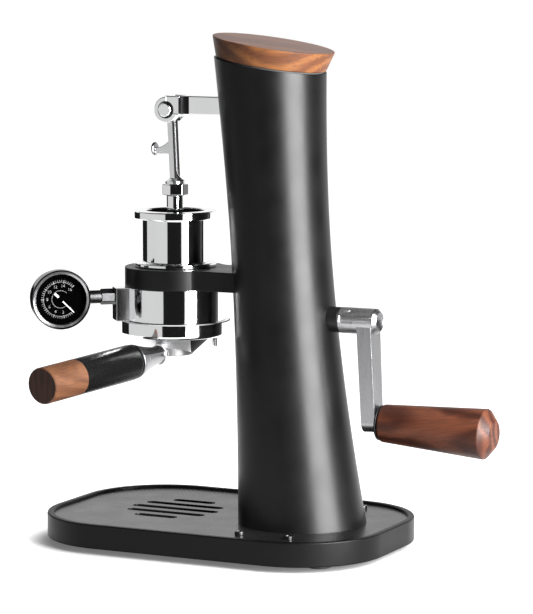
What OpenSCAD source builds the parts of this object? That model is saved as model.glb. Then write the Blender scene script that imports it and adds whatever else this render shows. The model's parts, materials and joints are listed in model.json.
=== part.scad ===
// Manual espresso maker with a crank press.
// The brew axis is the working origin: +X runs to the crank, -Y to the user, +Z up.
// place() moves the whole part so that its box stands centred on the table.

/* [Base] */
// Length of the base, left to right
base_len = 265; // [255:1:280]
// Depth of the base, front to back
base_dep = 175; // [168:1:190]
// Radius of the base's corners in plan
base_corner = 64; // [55:1:75]
// Height of the base's rim above the table
base_top = 22.5; // [21:0.5:25]
// Width of the rim around the deck
rim_w = 5; // [4:0.5:7]
// Depth of the deck below the rim
deck_drop = 2; // [1:0.5:4]
// Thickness of the deck plate
deck_t = 3; // [2:0.5:4]
// Thickness of the base's floor
floor_t = 3; // [2:0.5:4]
// Height of the rubber feet
foot_h = 4.5; // [3:0.5:6]
// Radius of the rubber feet
foot_r = 9; // [6:0.5:12]
// Number of drip slots
slots = 5; // [3:2:5]
// Width of a drip slot
slot_w = 8; // [5:0.5:9]
// Distance between neighbouring drip slots
slot_pitch = 15.5; // [13:0.5:16]
// Radius of the round field that the drip slots fill
slot_field_r = 35.5; // [35:0.5:38]

/* [Column] */
// Height of the middle of the column's slanted top above the pivot pin
column_rise = 34.2; // [30:0.2:38]
// Radius of the column where it stands on the deck
column_foot_r = 47; // [46:0.5:50]
// Radius of the column at its waist
column_waist_r = 36.5; // [36.3:0.1:38]
// Radius of the column at its top
column_top_r = 40.5; // [39.5:0.1:41.5]
// Height of the column's waist
column_waist_z = 228; // [215:1:240]
// Wall thickness of the column
column_wall = 3.5; // [2.5:0.1:3.6]
// Slant of the column's top and the cap, in degrees
cap_tilt = 9; // [5:0.5:10]
// Thickness of the wooden cap
cap_h = 14.6; // [12:0.2:20]
// Radius of the cap's top face
cap_r = 44.8; // [42.4:0.2:47]

/* [Brew group] */
// Bore radius of the water cup
cup_bore_r = 21.5; // [20:0.25:22]
// Wall thickness of the water cup
cup_wall = 3.1; // [2.5:0.1:3.5]
// Height of the water cup's rim
cup_top = 245.4; // [243:0.2:249]
// Radius of the water cup's rim
cup_rim_r = 30.6; // [28:0.2:32]
// Outer radius of the bracket ring and thereby of the group
bracket_r = 37.6; // [36.8:0.2:39]
// Height of the bracket's underside
bracket_z = 189.2; // [188.2:0.2:190.2]
// Thickness of the bracket
bracket_h = 14.5; // [12:0.5:15]
// Width of the bracket's arm
bracket_w = 50; // [46:1:51]
// Radius of the bayonet collar
collar_r = 40.5; // [39.5:0.5:43]
// Height of the bayonet collar
collar_h = 11.3; // [11:0.1:12]
// Height of the group body above the collar
group_h = 24.7; // [24:0.1:25.5]

/* [Gauge] */
// Distance from the brew axis to the dial's middle
gauge_reach = 88; // [85:0.2:96]
// Radius of the gauge's bezel
bezel_r = 21.9; // [20:0.1:23]
// Turn of the gauge's stem away from the left, in degrees
gauge_yaw = 40; // [35:1:45]
// Height of the gauge above the group body's lower edge
gauge_rise = 17.9; // [16:0.1:18]

/* [Press] */
// Stroke of the piston
stroke = 50; // [40:1:51]
// Height of the pivot pin at rest above the plunger rod's foot
rod_rise = 54.8; // [52:0.2:57]
// Height of the lifting arm
arm_h = 13.4; // [12:0.2:15]
// Width of the lifting arm
arm_w = 12; // [10:0.5:13]
// Radius of the fork's boss
fork_r = 9.6; // [9:0.1:10.5]
// Radius of the piston rod
piston_rod_r = 6.5; // [6:0.25:8]

/* [Drive] */
// Height of the crank shaft
crank_z = 171.1; // [170:0.1:172]
// Distance from the crank shaft to the grip's axis
crank_reach = 73; // [68:0.5:78]
// Module of the crank's gear pair
gear_module = 1; // [0.95:0.05:1.05]
// Module of the rack and its pinion
rack_module = 1.5; // [1.45:0.05:1.5]
// Length of the crank grip
grip_len = 84.5; // [75:0.5:95]
// Radius of the crank grip at its thick end
grip_r = 18.2; // [16:0.2:20]

/* [Portafilter] */
// Distance from the brew axis to the handle's end
handle_reach = 155; // [145:1:165]
// Radius of the handle
handle_r = 13.1; // [12:0.1:14.5]
// Length of the handle's wooden end
handle_wood = 36; // [30:1:42]
// Turn of the handle away from the front, in degrees
handle_yaw = 9.6; // [5:0.2:14]
// Droop of the handle, in degrees
handle_droop = 3; // [1:0.5:5]

/* [Hidden] */
$fn = 64;

// clearances: still joints, turning fits and gaps between pieces that move past each other
still = 0.05;
running = 0.05;
gap = 0.3;
// how far a cut reaches past the face it opens
over = 1;

// fasteners: M3 for the arm, M4 for the group and deck, M5 for the column and frame
m3_r = 1.5;
m3_head_r = 2.8;
m4_r = 2;
m4_head_r = 3.5;
m4_head_h = 2.6;
m5_r = 2.5;
m5_head_r = 4.5;
m5_head_h = 3.5;

// heights of the base
deck_z = base_top - deck_drop;
deck_under = deck_z - deck_t;
floor_z = foot_h + floor_t;
base_x = 45;
ledge_w = 6;
foot_inset = 24;
post_r = 6;
slot_x = -3;
slot_y = 4;
tray_wall = 1.2;
tray_margin = 10;
tray_r = slot_field_r + tray_margin;
tray_h = 7;

// heights of the press, from the cup's rim up to the column's top
nut_rise = 10.9;
nut_h = 8.5;
nut_z = cup_top + nut_rise;
rod_foot_z = nut_z + nut_h;
pivot_z = rod_foot_z + rod_rise;
column_h = pivot_z + column_rise;

// column: its middle line leans back to the foot, its radius flares away from the waist
column_x = 78.3;
lean_line = 17.3;
lean_curve = 8.4;
flare_power = 1.8;
column_sides = 48;
column_rings = 14;
column_flange_w = 6.5;
column_flange_h = 5.5;
column_bolt_n = 4;
pad_r = column_foot_r + 3;
screw_x = 19.5;
screw_y = 64;
function lean_x(z) = let (t = (column_h - z) / (column_h - deck_z))
    column_x + lean_line * t + lean_curve * t * t;
function flare(z, z_end, r_end) = column_waist_r
    + (r_end - column_waist_r) * pow((z - column_waist_z) / (z_end - column_waist_z), flare_power);
function column_r(z) = z < column_waist_z
    ? flare(z, deck_z, column_foot_r)
    : flare(z, column_h, column_top_r);
foot_x = lean_x(deck_z);
column_bolt_r = column_foot_r - column_wall - column_flange_w / 2;
gasket_h = 1;
spigot_h = 6;
spigot_play = 1.8;
spigot_r = column_top_r - column_wall - spigot_play;
cap_setback = 0.2;
cap_foot_r = column_top_r - cap_setback;
gasket_inset = 1.4;

// inner frame: two plates across X, standing in a foot block on the deck
plate_t = 6;
front_x = 80;
rear_x = 108;
front_half = 24;
rear_half = 22;
rear_half_top = 17;
rear_step_z = crank_z + 8;
plate_seat = 6;
foot_block_h = 14;
foot_block_half = 21;
foot_block_x0 = 75;
foot_block_x1 = 119;
front_top = 216;
rear_top = 214;
spacer_r = 4;
spacer_y = 12;
spacer_z = 208;
frame_bolt_y = 13;
frame_bolt_x = (front_x + plate_t + rear_x) / 2;

// brew group heights, from the bracket down
group_z = bracket_z - group_h;
collar_z = group_z - collar_h;
bracket_top = bracket_z + bracket_h;
group_setback = 0.4;
group_r = bracket_r - group_setback;
cup_r = cup_bore_r + cup_wall;
cup_foot_rise = 5.5;
cup_foot_z = group_z + cup_foot_rise;
cup_flange_r = cup_r + 5.7;
cup_flange_h = 3.5;
cup_flange_round = 1.6;
cup_rim_h = 6;
cup_rim_round = 1;
group_floor_h = 3.5;
feed_r = cup_bore_r - 1.5;
feed_hole_r = 2;
feed_holes = 6;
feed_circle_r = 12;
seal_r = 30;
spigot_ring_r = 35;
spigot_ring_h = 4;
gasket_in_r = 25;
gasket_t = 4.5;
screen_r = gasket_in_r - 0.5;
screen_t = 1;
screen_drop = 2.8;
screen_boss_r = 4;
screen_hole_r = 0.8;
screen_rows = 5;
screen_margin = 0.7;
screen_pitch = screen_r / (screen_rows + screen_margin);
screen_screw_short = 0.5;
screen_screw_len = screen_drop + screen_t + group_floor_h - screen_screw_short;
bayonet_r = 33.5;
bayonet_lip_h = 3.3;
bayonet_lip_r = 29.6;
bayonet_gap_half = 26;
collar_round = 2.4;
collar_edge = 1.2;
stop_pin_r = 1.8;
stop_pin_len = 6.5;
stop_pin_turn = -10;
stop_pin_at = collar_r - collar_round - stop_pin_r;
stop_pin_seat = 4;
stop_pin_shank = 1.3;

// bracket tongue inside the column, with the rack's guide hole
tongue_half = 20;
bracket_screw_y = 14.5;
bracket_screw_grip = 9;
window_gap = 0.3;
bracket_mid = bracket_z + bracket_h / 2;
wall_x = lean_x(bracket_mid)
    - sqrt(pow(column_r(bracket_mid), 2) - pow(bracket_w / 2, 2));

// gauge: local X points to the brew axis, local Y up, local Z out of the dial
gauge_z = group_z + gauge_rise;
boss_reach = group_r + 9;
boss_w = 16;
boss_root = 2;
union_af = 10.6;
union_len = 10.5;
union_x = gauge_reach - boss_reach - union_len;
stem_r = 4.4;
case_r = bezel_r - 1.8;
case_back = 14;
stem_depth = 6.5;
case_front = 4.5;
case_wall = 1.6;
dial_t = 0.7;
dial_at = 1.4;
dial_r = case_r - case_wall - 0.2;
needle_at = 2.8;
needle_t = 0.5;
needle_hub_r = 2;
needle_len = 13.5;
needle_tail = 6;
needle_w = 1;
needle_rest = -45;
arbor_r = 0.8;
glass_t = 1.5;
bezel_back = -2;
bezel_lip = 1.5;
bezel_lip_r = bezel_r - 3.4;
bezel_lip_t = 0.3;
bezel_crest_r = bezel_r - 1.3;
bezel_front = case_front + glass_t + bezel_lip;
bourdon_r = 11;
bourdon_tube_r = 2;
bourdon_arc = 250;
socket_half = 5;
movement_r = 6;
movement_t = 2;
arbor_proud = 0.4;
bezel_round = 1.2;
port_r = 1.5;
port_reach = cup_r + 3.4;

// press: rack in the column, arm, rod and piston
pinion_teeth = 12;
lay_teeth = 36;
gear_pa = 25;
backlash = 0.2;
rack_x0 = 67;
rack_w = 10;
rack_back = 8.5;
tooth_root = 0.2;
pitch_y = 2;
lay_pinion_r = rack_module * pinion_teeth / 2;
lay_y = pitch_y + lay_pinion_r;
drive_pinion_r = gear_module * pinion_teeth / 2;
lay_gear_r = gear_module * lay_teeth / 2;
gear_centres = drive_pinion_r + lay_gear_r;
lay_z = crank_z - sqrt(pow(gear_centres, 2) - pow(lay_y, 2));
// direction from the crank shaft to the lay shaft in the Y-Z plane
mesh_turn = atan2(lay_z - crank_z, lay_y);
rack_tip_y = pitch_y + rack_module;
// depth of a tooth below the pitch line, in modules
dedendum = 1.25;
rack_root_y = pitch_y - dedendum * rack_module;
rack_back_y = rack_root_y - rack_back;
rack_tail = 52;
rack_foot_z = lay_z - rack_tail;
guide_drop = 45;
guide_z = lay_z - guide_drop;
guide_h = 15;
guide_wall = 4;
pivot_x = -2.5;
arm_crown = 0.6;
arm_top = pivot_z + fork_r + arm_crown;
arm_z = arm_top - arm_h;
rack_proud = 1;
rack_top = arm_top + rack_proud;
fork_half = 10;
fork_slot_half = 5;
fork_x = 8.5;
fork_slot_x = 6.5;
fork_fillet = fork_half - arm_w / 2;
fork_fillet_len = 6.2;
arm_screw_inset = 3.6;
arm_screw_z = [arm_z + arm_screw_inset, arm_top - arm_screw_inset];
arm_screw_grip = 12;
slot_play = 1;
pin_r = 4.2;
pin_head_r = 5.2;
pin_head_h = 2.8;
rod_w = 4.2;
rod_d = 8.8;
rod_eye_r = 7.4;
rod_groove_w = 3.6;
rod_groove_d = 0.8;
rod_foot_r = 5.7;
rod_foot_h = 2;
rod_flare_h = 7;
stud_r = 4;
stud_len = 8;
nut_af = 17;
nut_turn = 11;
rod_lean = atan(-pivot_x / rod_rise);
rod_len = rod_rise / cos(rod_lean);
knob_drop = 29;
knob_z = pivot_z - knob_drop;
knob_reach = 15.4;
knob_r = 4.9;
knob_t = 2.2;
knob_edge = 0.6;
knob_stem_r = 2;
web_t = 3.8;
web_up = 6.6;
web_down = 3.9;
web_tip = 1;
web_steps = 8;
piston_r = cup_bore_r - gap;
piston_h = 14;
piston_sink = 9.4;
piston_top = cup_top - piston_sink;
seal_tube_r = 1.6;
seal_relief = 0.03;
seal_out_r = cup_bore_r - running - seal_relief;

// crank: shaft along X, hub outside the column, arm hanging down, grip on a drooping spindle
shaft_r = 5;
bush_seat_r = 8;
journal_r = 3.5;
shaft_x0 = 79.5;
gear_x = 90;
gear_w = 8;
shoulder_x = gear_x + gear_w + gap;
bush_r = 9.3;
bush_end = 135.5;
bush_out_r = 6.5;
lay_shaft_r = 4;
lay_shaft_x0 = 66.5;
lay_pinion_inset = 0.5;
hub_r = 9.5;
hub_x0 = bush_end + gap;
hub_len = 26.7;
hub_tip = 3;
hub_tip_r = 6;
hub_bore_depth = 14;
crank_arm_inset = 14.7;
crank_arm_x0 = hub_x0 + crank_arm_inset;
crank_arm_t = 11;
crank_arm_w = 18;
crank_arm_end_r = 7.6;
crank_splay = 2.8;
tenon_top = 5.8;
set_screw_r = 1.5;
set_screw_x = 9.3;
set_screw_turn = 40;
set_screw_sunk = 0.6;
lock_slot_x = 1.6;
lock_slot_len = 10;
lock_slot_w = 2.2;
lock_slot_d = 1.2;
grip_droop = 1.75;
grip_z = crank_z - crank_reach;
grip_x = crank_arm_x0 + crank_arm_t + crank_reach * tan(crank_splay);
arm_boss_len = 1.2;
arm_boss_r = 7;
washer_t = 3.6;
washer_r = 12.8;
spindle_r = 4;
spindle_in = 7;
grip_neck_r = 13.7;
grip_end_r = 11.6;
grip_round = 8;
grip_edge = 1;
grip_start = arm_boss_len + washer_t + gap;
grip_end_wall = 16;
spindle_len = grip_start + grip_len - grip_end_wall;
clip_in = 30;
clip_at = grip_start + clip_in;
clip_t = 1;
clip_r = 6;

// portafilter
pf_lip_z = group_z - gasket_t - gap;
pf_lip_t = 0.7;
pf_top = pf_lip_z - pf_lip_t;
pf_r = bayonet_lip_r - gap;
pf_ear_r = bayonet_r - gap;
pf_ear_z = collar_z + bayonet_lip_h + gap;
pf_ear_half = 22;
pf_foot_drop = 14.4;
pf_foot_z = collar_z - pf_foot_drop;
pf_foot_r = 12.4;
pf_skirt_drop = 0.4;
pf_skirt_z = collar_z - pf_skirt_drop;
pf_skirt_r = 27.6;
pf_wall = 2.6;
pf_bore_r = pf_r - pf_wall;
pf_shoulder_h = 1.5;
pf_shoulder_z = pf_skirt_z + pf_shoulder_h;
pf_floor_z = pf_foot_z + 4;
pf_outlet_r = 4;
function pf_cone_r(z) = pf_foot_r
    + (pf_skirt_r - pf_foot_r) * (z - pf_foot_z) / (pf_skirt_z - pf_foot_z);
basket_wall = 0.6;
basket_play = 0.6;
basket_z = pf_floor_z + 2;
basket_r = pf_bore_r - gap;
basket_skirt_r = pf_skirt_r - pf_wall - basket_play;
basket_foot_r = pf_cone_r(basket_z) - pf_wall - basket_play;
basket_lip_inset = 0.4;
basket_lip_r = pf_r - basket_lip_inset;
basket_hole_r = 1;
basket_rows = 4;
handle_z = pf_foot_z + 2;
stub_r = 6.5;
lug_r = 15;
lug_at = 4;
lug_lift = 0.4;
lug_h = 10;
neck_ring_at = 20;
neck_ring_t = 1.6;
neck_ring_r = 7.6;
neck_r = 6.6;
neck_flare_at = 25;
neck_end = 53;
neck_end_r = 12.7;
tang_r = 4;
handle_round = 4;
handle_edge = 1;
handle_wood_at = handle_reach - handle_wood;

// box of the whole part, for place()
box_left = min(base_x - base_len / 2,
    -(gauge_reach + case_r) * cos(gauge_yaw) + (stem_depth - case_back) * sin(gauge_yaw));
box_right = grip_x + (grip_start + grip_len) * cos(grip_droop);
box_front = -handle_reach * cos(handle_yaw) * cos(handle_droop) - handle_r * sin(handle_yaw);
box_back = base_dep / 2;

module place() {
    translate([-(box_left + box_right) / 2, -(box_front + box_back) / 2, 0]) children();
}

module rounded_rect(len, dep, r) {
    square([len - 2 * r, dep], center = true);
    square([len, dep - 2 * r], center = true);
    for (x = [-1, 1], y = [-1, 1]) translate([x * (len / 2 - r), y * (dep / 2 - r)]) circle(r);
}

// the base's outline, drawn in by inset
module base_outline(inset) {
    translate([base_x, 0]) rounded_rect(base_len - 2 * inset, base_dep - 2 * inset, base_corner - inset);
}

module ring(out_r, in_r, h) {
    difference() {
        cylinder(h = h, r = out_r);
        translate([0, 0, -over]) cylinder(h = h + 2 * over, r = in_r);
    }
}

module along_x(x0, x1, r) {
    translate([x0, 0, 0]) rotate([0, 90, 0]) cylinder(h = x1 - x0, r = r);
}

module along_y(y0, y1, r) {
    translate([0, y0, 0]) rotate([-90, 0, 0]) cylinder(h = y1 - y0, r = r);
}

// a screw whose head stands on z = 0 and whose shank points down
module cap_screw(r, len, head_r, head_h) {
    difference() {
        cylinder(h = head_h, r = head_r);
        translate([0, 0, head_h / 2]) cylinder(h = head_h, r = r * 0.9, $fn = 6);
    }
    translate([0, 0, -len]) cylinder(h = len, r = r);
}

// the same screw lying along X, its head on the +X side of x
module cap_screw_x(x, r, len, head_r, head_h) {
    translate([x, 0, 0]) rotate([0, 90, 0]) cap_screw(r, len, head_r, head_h);
}

// involute of the pressure angle at radius rho, in degrees
function involute(base_r, rho) = let (a = acos(min(1, base_r / rho))) tan(a) * 180 / PI - a;

// half the tooth's angle at radius rho
function tooth_half(m, teeth, rho) = let (pitch_r = m * teeth / 2, base_r = pitch_r * cos(gear_pa))
    (PI * m / 2 - backlash / 2) / (2 * pitch_r) * 180 / PI
    + involute(base_r, pitch_r) - involute(base_r, max(rho, base_r));

// outline of a spur gear with a tooth on the +X axis
module gear_outline(m, teeth) {
    pitch_r = m * teeth / 2;
    tip_r = pitch_r + m;
    root_r = pitch_r - dedendum * m;
    flank_r = max(root_r, pitch_r * cos(gear_pa));
    steps = 5;
    radii = concat([root_r], [for (k = [0:steps]) flank_r + (tip_r - flank_r) * k / steps]);
    last = len(radii) - 1;
    polygon([for (n = [0:teeth - 1], side = [-1, 1], k = [0:last])
        let (rho = radii[side < 0 ? k : last - k], a = n * 360 / teeth + side * tooth_half(m, teeth, rho))
        rho * [cos(a), sin(a)]]);
}

// a spur gear across X from x0, with the tooth nearest to turn, seen in the Y-Z plane
module spur_gear(x0, w, m, teeth, turn, bore_r) {
    translate([x0, 0, 0]) rotate([90, 0, 90]) linear_extrude(w) difference() {
        rotate(turn) gear_outline(m, teeth);
        circle(bore_r);
    }
}

module crank_axis() {
    translate([0, 0, crank_z]) children();
}

module lay_axis() {
    translate([0, lay_y, lay_z]) children();
}

// local Z = 0 is level with the case's front half, and the stem lies stem_depth behind it
module gauge_frame() {
    translate([-gauge_reach * cos(gauge_yaw), -gauge_reach * sin(gauge_yaw), gauge_z])
        rotate([90, 0, gauge_yaw]) translate([0, 0, stem_depth]) children();
}

module handle_frame() {
    translate([0, 0, handle_z]) rotate([90 + handle_droop, 0, -handle_yaw]) children();
}

module grip_frame() {
    translate([grip_x, 0, grip_z]) rotate([0, 90 + grip_droop, 0]) children();
}

module cap_frame() {
    translate([lean_x(column_h), 0, column_h]) rotate([0, cap_tilt, 0]) children();
}

// local Z runs down the rod from the pivot
module rod_frame() {
    translate([pivot_x, 0, pivot_z]) rotate([0, 180 - rod_lean, 0]) children();
}

module at_deck_screws() {
    for (x = [-screw_x, screw_x], y = [-screw_y, screw_y]) translate([foot_x + x, y, 0]) children();
}

module at_column_bolts() {
    for (k = [0:column_bolt_n - 1]) translate([foot_x, 0, 0])
        rotate(360 / column_bolt_n * (k + 0.5)) translate([column_bolt_r, 0, 0]) children();
}

module at_frame_bolts() {
    for (y = [-frame_bolt_y, frame_bolt_y]) translate([frame_bolt_x, y, 0]) children();
}

// the leaning column as a loft of rings, grown outwards by grow
module column_loft(z0, z1, grow) {
    levels = [for (k = [0:column_rings]) z0 + (z1 - z0) * k / column_rings];
    points = [for (z = levels, i = [0:column_sides - 1]) let (a = i * 360 / column_sides)
        [lean_x(z) + (column_r(z) + grow) * cos(a), (column_r(z) + grow) * sin(a), z]];
    walls = [for (k = [0:column_rings - 1], i = [0:column_sides - 1])
        let (j = (i + 1) % column_sides, b = k * column_sides, t = b + column_sides)
        [b + i, t + i, t + j, b + j]];
    bottom = [for (i = [0:column_sides - 1]) i];
    top = [for (i = [column_sides - 1:-1:0]) column_rings * column_sides + i];
    polyhedron(points, concat([bottom], walls, [top]));
}

module base_body() color("#1b1b1d") place() difference() {
    union() {
        difference() {
            translate([0, 0, foot_h]) linear_extrude(base_top - foot_h) base_outline(0);
            translate([0, 0, deck_under]) linear_extrude(base_top) base_outline(rim_w);
            translate([0, 0, floor_z]) linear_extrude(base_top) base_outline(rim_w + ledge_w);
        }
        translate([foot_x, 0, foot_h]) cylinder(h = deck_under - foot_h, r = pad_r);
        at_deck_screws() translate([0, 0, foot_h]) cylinder(h = deck_under - foot_h, r = post_r);
    }
    at_deck_screws() translate([0, 0, floor_z]) cylinder(h = base_top, r = m4_r + still);
    at_column_bolts() through_bolt_hole();
    at_frame_bolts() through_bolt_hole();
}

// a hole for a bolt from below, with room for its head
module through_bolt_hole() {
    translate([0, 0, foot_h - over]) cylinder(h = base_top, r = m5_r + still);
    translate([0, 0, foot_h - over]) cylinder(h = m5_head_h + over, r = m5_head_r + still);
}

module deck_plate() color("#3a3a3c") place() difference() {
    translate([0, 0, deck_under]) linear_extrude(deck_t) base_outline(rim_w + still);
    for (k = [0:slots - 1]) {
        y = (k - (slots - 1) / 2) * slot_pitch;
        half = sqrt(pow(slot_field_r, 2) - pow(y, 2)) - slot_w / 2;
        translate([slot_x, slot_y + y, deck_under - over]) linear_extrude(deck_t + 2 * over) {
            square([2 * half, slot_w], center = true);
            for (x = [-half, half]) translate([x, 0]) circle(slot_w / 2);
        }
    }
    translate([0, 0, deck_under - over]) {
        at_deck_screws() cylinder(h = deck_t + 2 * over, r = m4_r + still);
        at_column_bolts() cylinder(h = deck_t + 2 * over, r = m5_r + still);
        at_frame_bolts() cylinder(h = deck_t + 2 * over, r = m5_r + still);
    }
}

module deck_screws() color("silver") place()
    at_deck_screws() translate([0, 0, deck_z])
        cap_screw(m4_r, deck_z - floor_z - over, m4_head_r, m4_head_h);

module drip_tray() color("#55565a") place() translate([slot_x, slot_y, floor_z]) difference() {
    cylinder(h = tray_h, r = tray_r);
    translate([0, 0, tray_wall]) cylinder(h = tray_h, r = tray_r - tray_wall);
}

module rubber_feet() color("#101010") place()
    for (x = [-1, 1], y = [-1, 1])
        translate([base_x + x * (base_len / 2 - base_corner), y * (base_dep / 2 - base_corner), 0])
            rotate(atan2(y, x)) translate([base_corner - foot_inset, 0, 0])
                cylinder(h = foot_h, r = foot_r);

module column_shell() color("#161617") place() difference() {
    union() {
        difference() {
            column_loft(deck_z, column_h + cap_h, 0);
            column_loft(deck_z - over, column_h + cap_h + over, -column_wall);
        }
        translate([foot_x, 0, deck_z])
            ring(column_foot_r - column_wall / 2, column_foot_r - column_wall - column_flange_w,
                column_flange_h);
    }
    cap_frame() translate([-column_foot_r * 2, -column_foot_r * 2, 0])
        cube([column_foot_r * 4, column_foot_r * 4, column_h]);
    translate([0, -bracket_w / 2 - window_gap, bracket_z - window_gap])
        cube([front_x, bracket_w + 2 * window_gap, bracket_h + 2 * window_gap]);
    translate([0, -arm_w / 2 - slot_play, arm_z - stroke - slot_play])
        cube([rack_x0, arm_w + 2 * slot_play, arm_h + stroke + 2 * slot_play]);
    crank_axis() along_x(rear_x, bush_end, bush_r + gap);
    at_column_bolts() translate([0, 0, deck_z - over])
        cylinder(h = column_flange_h + 2 * over, r = m5_r + still);
}

module column_bolts() color("dimgray") place()
    at_column_bolts() translate([0, 0, foot_h + m5_head_h]) mirror([0, 0, 1])
        cap_screw(m5_r, deck_z + column_flange_h - foot_h - m5_head_h, m5_head_r, m5_head_h);

module cap_gasket() color("#0c0c0c") place()
    cap_frame() ring(column_top_r - gasket_inset, spigot_r + still, gasket_h);

module wood_cap() color("#8a5a38") place() cap_frame() translate([0, 0, gasket_h]) {
    cylinder(h = cap_h, r1 = cap_foot_r, r2 = cap_r);
    translate([0, 0, -gasket_h - spigot_h]) cylinder(h = gasket_h + spigot_h, r = spigot_r);
}

module frame_foot() color("slategray") place() difference() {
    translate([foot_block_x0, -foot_block_half, deck_z])
        cube([foot_block_x1 - foot_block_x0, 2 * foot_block_half, foot_block_h]);
    for (x = [front_x, rear_x]) translate([x - still, -front_half - over, deck_z + plate_seat])
        cube([plate_t + 2 * still, 2 * front_half + 2 * over, foot_block_h]);
    at_frame_bolts() translate([0, 0, deck_z - over]) cylinder(h = foot_block_h + 2 * over, r = m5_r + still);
}

module frame_bolts() color("dimgray") place()
    at_frame_bolts() translate([0, 0, foot_h + m5_head_h]) mirror([0, 0, 1])
        cap_screw(m5_r, deck_z + foot_block_h - foot_h - m5_head_h - over, m5_head_r, m5_head_h);

// a hole across a frame plate
module plate_hole(x0, r) {
    along_x(x0 - over, x0 + plate_t + over, r);
}

module front_plate() color("lightslategray") place() difference() {
    translate([front_x, -front_half, deck_z + plate_seat])
        cube([plate_t, 2 * front_half, front_top - deck_z - plate_seat]);
    crank_axis() plate_hole(front_x, bush_out_r + still);
    lay_axis() plate_hole(front_x, bush_out_r + still);
    for (y = [-bracket_screw_y, bracket_screw_y]) translate([0, y, bracket_mid])
        plate_hole(front_x, m4_r + still);
    for (y = [-spacer_y, spacer_y]) translate([0, y, spacer_z]) plate_hole(front_x, m4_r + still);
}

module rear_plate() color("lightslategray") place() difference() {
    translate([rear_x, 0, 0]) rotate([90, 0, 90]) linear_extrude(plate_t) polygon([
        [-foot_block_half, deck_z + plate_seat], [foot_block_half, deck_z + plate_seat],
        [rear_half, rear_step_z - rear_half], [rear_half, rear_step_z - rear_half + rear_half_top],
        [rear_half_top, rear_step_z], [rear_half_top, rear_top],
        [-rear_half_top, rear_top], [-rear_half_top, rear_step_z]]);
    crank_axis() plate_hole(rear_x, bush_seat_r);
    lay_axis() plate_hole(rear_x, bush_out_r + still);
    for (y = [-spacer_y, spacer_y]) translate([0, y, spacer_z]) plate_hole(rear_x, m4_r + still);
}

module plate_spacers() color("silver") place()
    for (y = [-spacer_y, spacer_y]) translate([0, y, spacer_z]) {
        along_x(front_x + plate_t, rear_x, spacer_r);
        along_x(front_x, rear_x + plate_t, m4_r);
    }

// the rack's outline in plan, grown by clear, as a prism over a height
module rack_passage(z, h, clear) {
    translate([rack_x0 - clear, rack_back_y - clear, z])
        cube([rack_w + 2 * clear, rack_tip_y - rack_back_y + 2 * clear, h]);
}

module rack_guide() color("goldenrod") place() difference() {
    translate([rack_x0 - guide_wall, rack_back_y - guide_wall, guide_z])
        cube([front_x - rack_x0 + guide_wall, rack_tip_y - rack_back_y + 2 * guide_wall, guide_h]);
    rack_passage(guide_z - over, guide_h + 2 * over, gap);
}

module shaft_bushes() color("goldenrod") place() {
    crank_axis() bush_x(front_x, bush_out_r, journal_r);
    lay_axis() for (x = [front_x, rear_x]) bush_x(x, bush_out_r, lay_shaft_r);
}

module bush_x(x0, out_r, shaft) {
    difference() {
        along_x(x0, x0 + plate_t, out_r);
        plate_hole(x0, shaft + running);
    }
}

module crank_bush() color("#121212") place() crank_axis() difference() {
    union() {
        along_x(rear_x, rear_x + plate_t + over, bush_seat_r - still);
        along_x(rear_x + plate_t, bush_end, bush_r);
    }
    along_x(rear_x - over, bush_end + over, shaft_r + running);
}

module group_bracket() color("#171718") place() difference() {
    translate([0, 0, bracket_z]) {
        cylinder(h = bracket_h, r = bracket_r);
        translate([0, -bracket_w / 2, 0]) cube([wall_x, bracket_w, bracket_h]);
        translate([0, -tongue_half, 0]) cube([front_x, 2 * tongue_half, bracket_h]);
    }
    translate([0, 0, bracket_z - over]) cylinder(h = bracket_h + 2 * over, r = cup_r + still);
    rack_passage(bracket_z - over, bracket_h + 2 * over, gap);
    for (y = [-bracket_screw_y, bracket_screw_y]) translate([0, y, bracket_mid])
        along_x(front_x - bracket_screw_grip - over, front_x + over, m4_r + still);
}

module bracket_screws() color("silver") place()
    for (y = [-bracket_screw_y, bracket_screw_y]) translate([0, y, bracket_mid])
        cap_screw_x(front_x + plate_t, m4_r, plate_t + bracket_screw_grip, m4_head_r, m4_head_h);

module water_cup() color("gainsboro") place() rotate_extrude() polygon([
    [cup_bore_r, cup_foot_z], [cup_r, cup_foot_z],
    [cup_r, bracket_top], [cup_flange_r, bracket_top],
    [cup_flange_r, bracket_top + cup_flange_h - cup_flange_round],
    [cup_flange_r - cup_flange_round, bracket_top + cup_flange_h],
    [cup_r, bracket_top + cup_flange_h], [cup_r, cup_top - cup_rim_h],
    [cup_rim_r - cup_rim_round, cup_top - cup_rim_h], [cup_rim_r, cup_top - cup_rim_h + cup_rim_round],
    [cup_rim_r, cup_top - cup_rim_round], [cup_rim_r - cup_rim_round, cup_top], [cup_bore_r, cup_top]]);

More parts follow.
